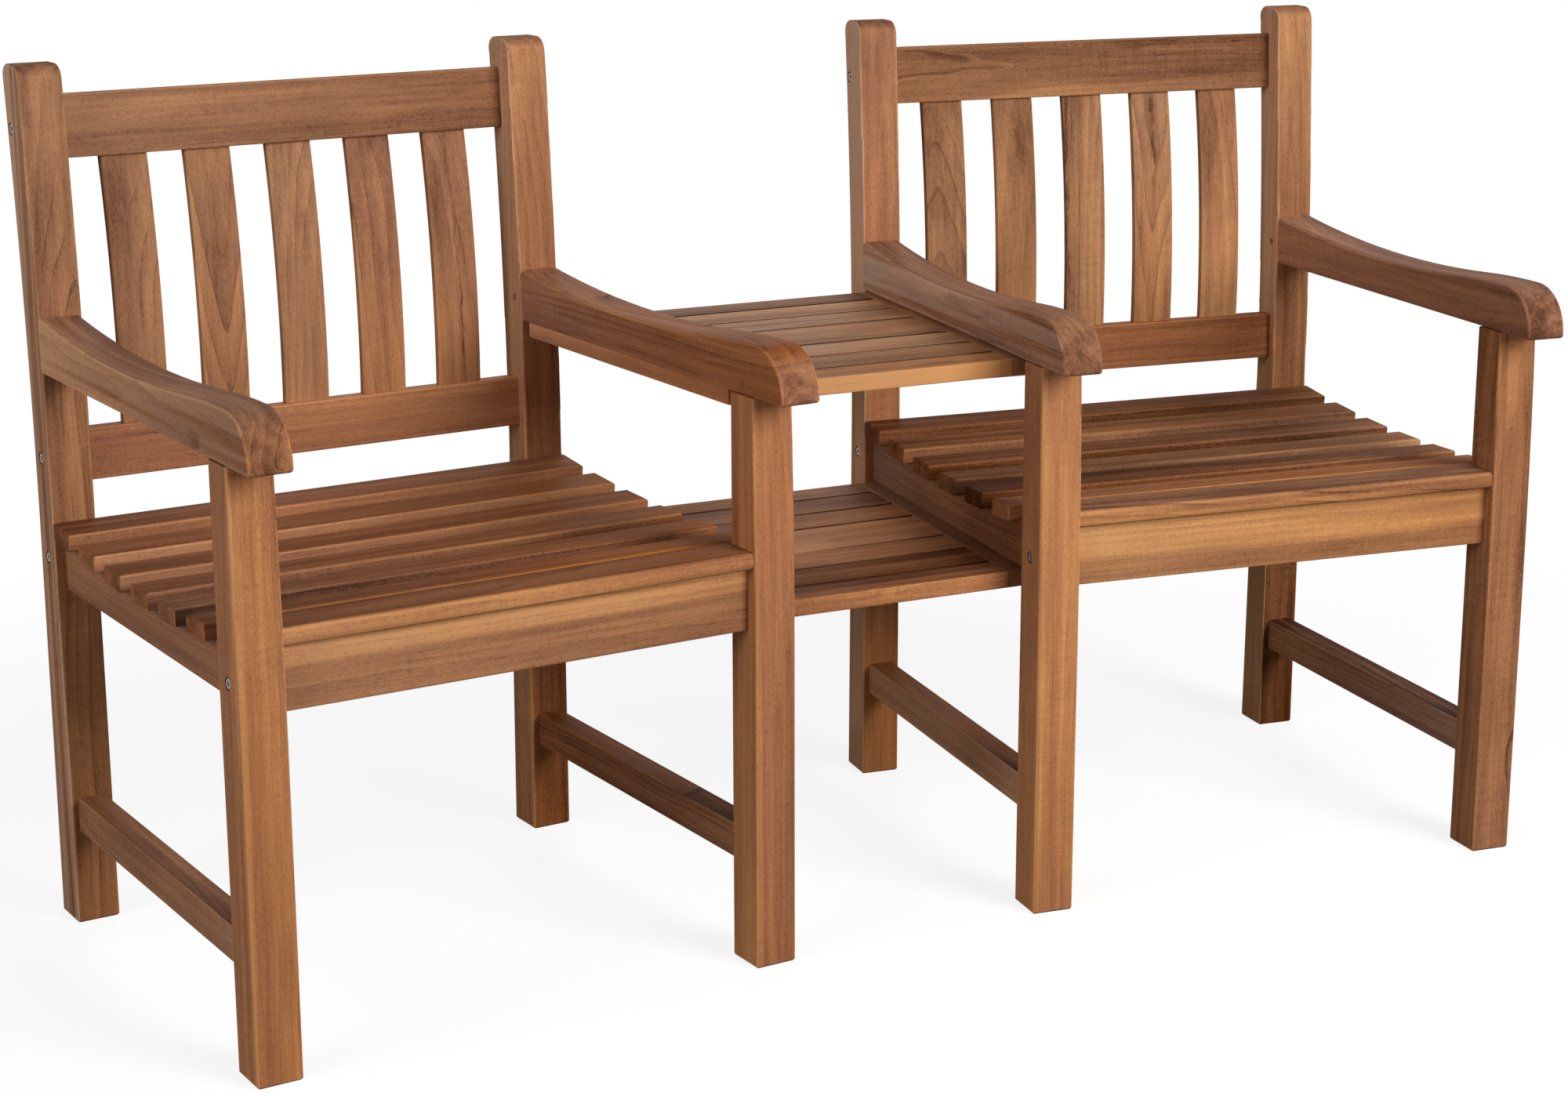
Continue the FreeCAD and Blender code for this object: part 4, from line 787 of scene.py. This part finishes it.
# Table slats, from the front one to the rear one
tableSlats = {
    "widths": (0.045, 0.0565, 0.0565, 0.089, 0.0565, 0.0565, 0.045),
    "gap": 0.0045,
    "firstSeed": {"upper": 48.29, "lower": 44.96},
    "seedStep": 7.1,
    "pithReach": 0.07,
    "lean": 0.03,
    # the slats' side faces and arrises get painted shade, for the shadow in the gaps between them
    "look": {"Ring width": 0.009, "Figure": 0.7, "Banding": 0.7, "Mottle": 1.5,
             "Side shading": -0.34, "Arris light": -0.26},
}
tableSlatLooks = {
    # the first slat of each tier is the front one: its strip and lighter arris are a painted
    # highlight on its front face, and it has none of the painted shade of the gaps
    "upper": [
        {"Strip angle": 180, "Strip start": 0.021, "Strip edge": 0.001, "Strip tone": 0.32, "Tone and shading": 0.14,
         "Fade": 0.45, "Side shading": 0.0, "Arris light": 0.1, "Grey and sheen": -0.01, "Grey and sheen fade": -0.23},
        {"Tone and shading": 0.04, "Fade": 0.45, "Grey and sheen": 0.06, "Grey and sheen fade": -0.08, "Red": -0.0031},
        {"Tone and shading": 0.3, "Fade": 0.45, "Grey and sheen": 0.12, "Grey and sheen fade": -0.28, "Red": -0.0019},
        {"Tone and shading": 0.12, "Fade": 0.32, "Grey and sheen": 0.07, "Grey and sheen fade": -0.05, "Red": -0.0015},
        {"Tone and shading": 0.06, "Fade": 0.43, "Grey and sheen": 0.16, "Grey and sheen fade": -0.6, "Red": -0.004},
        {"Tone and shading": 0.18, "Fade": 0.45, "Grey and sheen": 0.11, "Grey and sheen fade": -0.18, "Red": -0.0024},
        {"Tone and shading": -0.1, "Fade": -0.45, "Grey and sheen": 0.08, "Grey and sheen fade": -0.14},
    ],
    "lower": [
        {"Knot along": -0.005, "Knot across": -0.0225, "Knot deep": 0.002, "Knot size": 0.009,
         "Knot tone": 0.18, "Strip angle": 180, "Strip start": 0.021, "Strip edge": 0.001,
         "Strip tone": 0.14, "Tone and shading": -0.11, "Fade": 0.45, "Side shading": 0.0, "Arris light": 0.1,
         "Grey and sheen": -0.04, "Grey and sheen fade": 0.05, "Red": 0.0032},
        {"Tone and shading": -0.16, "Fade": 0.45, "Grey and sheen": -0.1, "Grey and sheen fade": 0.04, "Red": -0.0015},
        {"Tone and shading": 0.15, "Fade": 0.45, "Grey and sheen": -0.02, "Grey and sheen fade": 0.07},
        {"Tone and shading": 0.4, "Fade": -0.45, "Grey and sheen": 0.03, "Grey and sheen fade": -0.17, "Red": 0.0022},
        {"Tone and shading": 0.01, "Fade": 0.32, "Grey and sheen": 0.02, "Grey and sheen fade": -0.17, "Red": 0.0023},
        {"Tone and shading": -0.07, "Fade": -0.45, "Grey and sheen": 0.03, "Red": 0.0014},
        {"Tone and shading": 0.17, "Fade": -0.45, "Grey and sheen": 0.01, "Grey and sheen fade": 0.6, "Red": 0.0016},
    ],
}
tableRailLooks = {
    "upper_left": {"Seed": 4.4, "Figure": 0.4, "Tone and shading": 0.27, "Fade": 0.44, "End tone": 0.12,
                   "Grey and sheen": 0.02, "Grey and sheen fade": 0.34, "Red": 0.0057},
    "upper_right": {"Seed": 6.4, "Figure": 0.4, "Tone and shading": -0.04, "End tone": 0.12},
    "lower_left": {"Seed": 8.4, "Figure": 0.4, "Tone and shading": -0.04, "End tone": 0.12},
    "lower_right": {"Seed": 10.4, "Figure": 0.4, "Tone and shading": -0.03, "Fade": 0.64, "End tone": 0.12,
                    "Grey and sheen": 0.07, "Grey and sheen fade": 0.44, "Red": -0.0033},
}

for tier in ("upper", "lower"):
    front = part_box(tier + "_table_slats")[0].y
    borders = []
    for width in tableSlats["widths"][:-1]:
        front += width + tableSlats["gap"]
        borders.append(front - tableSlats["gap"] / 2)
    looks = [slatLook(tableSlats, number, tableSlats["firstSeed"][tier], special)
             for number, special in enumerate(tableSlatLooks[tier], start=1)]
    dressBoards(tier + "_table_slats", "across", 0, looks,
                lambda point: sum(point[1] > border for border in borders))
    for side, turn in chairTurn.items():
        look = tableRailLooks[tier + "_" + side]
        dressBoard(tier + "_table_" + side + "_rail", "back", turn, look)
print("dressed the table")


# Fasteners

steelSetup = {
    "colour": (0.42, 0.39, 0.35),
    "metallic": 1.0,
    "roughness": 0.30,
    "gloss": 0.5,
}
pegSetup = {
    "colour": (0.27, 0.115, 0.052),
    "metallic": 0.0,
    "roughness": 0.6,
    "gloss": 0.05,
}
grimeSetup = {
    "specks": {"along": 900.0, "across": 900.0, "detail": 3.0, "roughness": 0.6},
    "darkRange": (0.45, 0.75),
    "darkness": 0.55,  # what is left of the colour under the grime
    "roughRange": (0.3, 0.7),
    "rougher": 0.2,
}


def mixColours(tree, amount, first, second):
    node = addNode(tree, "ShaderNodeMix", data_type="RGBA")
    for index, value in ((0, amount), (6, first + (1.0,)), (7, second + (1.0,))):
        joinSocket(tree, value, node.inputs[index])
    return node.outputs[2]


def makePlainMaterial(name, setup):
    material = bpy.data.materials.new(name)
    material.use_nodes = True
    tree = material.node_tree
    shader = tree.nodes["Principled BSDF"]
    where = addNode(tree, "ShaderNodeTexCoord").outputs
    grime = grainNoise(tree, where["Object"], grimeSetup["specks"])
    dark = tuple(part * grimeSetup["darkness"] for part in setup["colour"])
    shade = mixColours(tree, remap(tree, grime, *grimeSetup["darkRange"]), setup["colour"], dark)
    rough = remap(tree, grime, *grimeSetup["roughRange"], setup["roughness"],
                  setup["roughness"] + grimeSetup["rougher"])
    tree.links.new(shade, shader.inputs["Base Color"])
    tree.links.new(rough, shader.inputs["Roughness"])
    shader.inputs["Metallic"].default_value = setup["metallic"]
    shader.inputs["Specular IOR Level"].default_value = setup["gloss"]
    return material


boltSteel = makePlainMaterial("boltSteel", steelSetup)
pegWood = makePlainMaterial("pegWood", pegSetup)
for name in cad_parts:
    if name.endswith(("frame_bolts", "barrel_nuts", "table_screws")):
        dressPiece(name, boltSteel)
    if name.endswith(("arm_pegs", "slat_dowels")):
        dressPiece(name, pegWood)

# Bright rims on the bolt heads, which lie sunk in the wood
rimSetup = {
    "outer": 0.0049,
    "inner": 0.0031,
    "rise": 0.0017,
    "rounding": 0.0004,
    "sides": 32,
    "smoothAngle": 40,
    "reach": 0.085,  # no two points of one bolt are further apart
}


def deselectAll():
    bpy.ops.object.select_all(action="DESELECT")


def useModifier(piece, kind, **settings):
    modifier = piece.modifiers.new(kind.title(), kind)
    for name, value in settings.items():
        setattr(modifier, name, value)
    bpy.context.view_layer.objects.active = piece
    bpy.ops.object.modifier_apply(modifier=modifier.name)


def boltHeads(mesh, turn):
    # Middle of each bolt's outer face in the chair's own frame, and which way it looks
    unturned = Matrix.Rotation(math.radians(-turn), 3, "Z")
    bolts = []
    for vertex in mesh.vertices:
        point = unturned @ vertex.co
        home = [bolt for bolt in bolts if (bolt[0] - point).length < rimSetup["reach"]]
        if home:
            home[0].append(point)
        else:
            bolts.append([point])
    chairMiddle = sum(bolt[0].x for bolt in bolts) / len(bolts)
    heads = []
    for bolt in bolts:
        place = middleOf(bolt)
        outward = -1 if place.x < chairMiddle else 1
        place.x = outward * max(outward * point.x for point in bolt)
        heads.append((place, outward))
    return heads


def makeRims(side, turn):
    deselectAll()
    bpy.ops.mesh.primitive_cylinder_add(vertices=rimSetup["sides"], radius=rimSetup["outer"],
                                        depth=rimSetup["rise"], end_fill_type="NOTHING")
    rim = bpy.context.object
    useModifier(rim, "SOLIDIFY", thickness=rimSetup["outer"] - rimSetup["inner"], offset=-1)
    useModifier(rim, "BEVEL", width=rimSetup["rounding"], segments=2)
    rims = []
    for place, outward in boltHeads(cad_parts[side + "_frame_bolts"].data, turn):
        another = rim.copy()
        another.data = rim.data.copy()
        bpy.context.collection.objects.link(another)
        place.x += outward * rimSetup["rise"] / 2
        another.matrix_world = (Matrix.Rotation(math.radians(turn), 4, "Z")
                                @ Matrix.Translation(place)
                                @ Matrix.Rotation(math.radians(90), 4, "Y"))
        rims.append(another)
    bpy.data.objects.remove(rim)
    deselectAll()
    for another in rims:
        another.select_set(True)
    bpy.context.view_layer.objects.active = rims[0]
    bpy.ops.object.join()
    bpy.ops.object.transform_apply()
    bpy.ops.object.shade_smooth_by_angle(angle=math.radians(rimSetup["smoothAngle"]))
    rims[0].name = side + "_bolt_rims"
    rims[0].data.materials.append(boltSteel)
    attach(rims[0], "root")


for side, turn in chairTurn.items():
    makeRims(side, turn)
print("dressed the fasteners")


# Floor, light and camera

def seenDirectly(tree):
    # 1 for what the camera sees, also in shine and through glass, and 0 for what lights the bench
    path = addNode(tree, "ShaderNodeLightPath").outputs
    seen = calc(tree, "MAXIMUM", path["Is Camera Ray"], path["Is Glossy Ray"])
    return calc(tree, "MAXIMUM", seen, path["Is Transmission Ray"])


floorSetup = {
    "size": 40.0,
    "colour": (0.25, 0.25, 0.25, 1.0),
    "lift": 0.84,  # what the paper behind a cut-out adds to the shadow
    "shadowReach": (1.0, 1.9),  # shadows fade to white between these distances
}


def makePaper():
    paper = bpy.data.materials.new("studioPaper")
    paper.use_nodes = True
    tree = paper.node_tree
    tree.nodes.clear()
    where = addNode(tree, "ShaderNodeTexCoord").outputs
    distance = addNode(tree, "ShaderNodeVectorMath", {"Vector": where["Object"]},
                       operation="LENGTH").outputs["Value"]
    seen = seenDirectly(tree)
    far = remap(tree, distance, *floorSetup["shadowReach"], smooth=True)
    matt = addNode(tree, "ShaderNodeBsdfDiffuse", {"Color": floorSetup["colour"]})
    lift = addNode(tree, "ShaderNodeEmission",
                   {"Strength": calc(tree, "MULTIPLY", seen, floorSetup["lift"])})
    lit = addNode(tree, "ShaderNodeAddShader")
    tree.links.new(matt.outputs[0], lit.inputs[0])
    tree.links.new(lift.outputs[0], lit.inputs[1])
    white = addNode(tree, "ShaderNodeEmission", {"Strength": 1.0})
    blend = addNode(tree, "ShaderNodeMixShader", {"Fac": calc(tree, "MULTIPLY", far, seen)})
    tree.links.new(lit.outputs[0], blend.inputs[1])
    tree.links.new(white.outputs[0], blend.inputs[2])
    output = tree.nodes.new("ShaderNodeOutputMaterial")
    tree.links.new(blend.outputs[0], output.inputs["Surface"])
    return paper


deselectAll()
bpy.ops.mesh.primitive_plane_add(size=floorSetup["size"], location=(0, 0, 0))
floor = bpy.context.object
floor.name = "studioFloor"
floor.data.materials.append(makePaper())

worldLight = 0.12  # the sky shows as plain white and lights the bench with only this much
world = bpy.data.worlds.new("studioWorld")
bpy.context.scene.world = world
world.use_nodes = True
worldTree = world.node_tree
worldTree.nodes.clear()
strength = remap(worldTree, seenDirectly(worldTree), 0.0, 1.0, worldLight, 1.0)
sky = addNode(worldTree, "ShaderNodeBackground",
              {"Color": (1.0, 1.0, 1.0, 1.0), "Strength": strength})
worldOut = worldTree.nodes.new("ShaderNodeOutputWorld")
worldTree.links.new(sky.outputs[0], worldOut.inputs["Surface"])

lampAim = (0.0, 0.0, 0.4)
lampSetup = {
    "key": {"place": (1.4, -3.35, 2.1), "size": 2.0, "power": 137.0},
    "side": {"place": (-5.0, -1.6, 2.2), "size": 2.6, "power": 100.0},
    "rear": {"place": (1.2, 3.8, 2.4), "size": 2.4, "power": 32.0},
}
for name, setup in lampSetup.items():
    light = bpy.data.lights.new(name, "AREA")
    light.size = setup["size"]
    light.energy = setup["power"]
    lamp = bpy.data.objects.new(name, light)
    bpy.context.scene.collection.objects.link(lamp)
    lamp.location = setup["place"]
    aim = Vector(lampAim) - lamp.location
    lamp.rotation_euler = aim.to_track_quat("-Z", "Y").to_euler()

cameraSetup = {
    "place": (-1.4581, -2.8834, 1.2253),
    "yaw": 26.12,
    "pitch": 14.75,
    "roll": -0.1,
    "lens": 69.768,  # this and the sensor are in millimetres
    "sensor": 36.0,
}
cameraData = bpy.data.cameras.new("photoCamera")
cameraData.lens = cameraSetup["lens"]
cameraData.sensor_width = cameraSetup["sensor"]
camera = bpy.data.objects.new("photoCamera", cameraData)
bpy.context.scene.collection.objects.link(camera)
camera.matrix_world = (
    Matrix.Translation(cameraSetup["place"])
    @ Matrix.Rotation(math.radians(-cameraSetup["yaw"]), 4, "Z")
    @ Matrix.Rotation(math.radians(90 - cameraSetup["pitch"]), 4, "X")
    @ Matrix.Rotation(math.radians(cameraSetup["roll"]), 4, "Z")
)
bpy.context.scene.camera = camera
bpy.context.scene.view_settings.view_transform = "Standard"
print("floor, light and camera set")
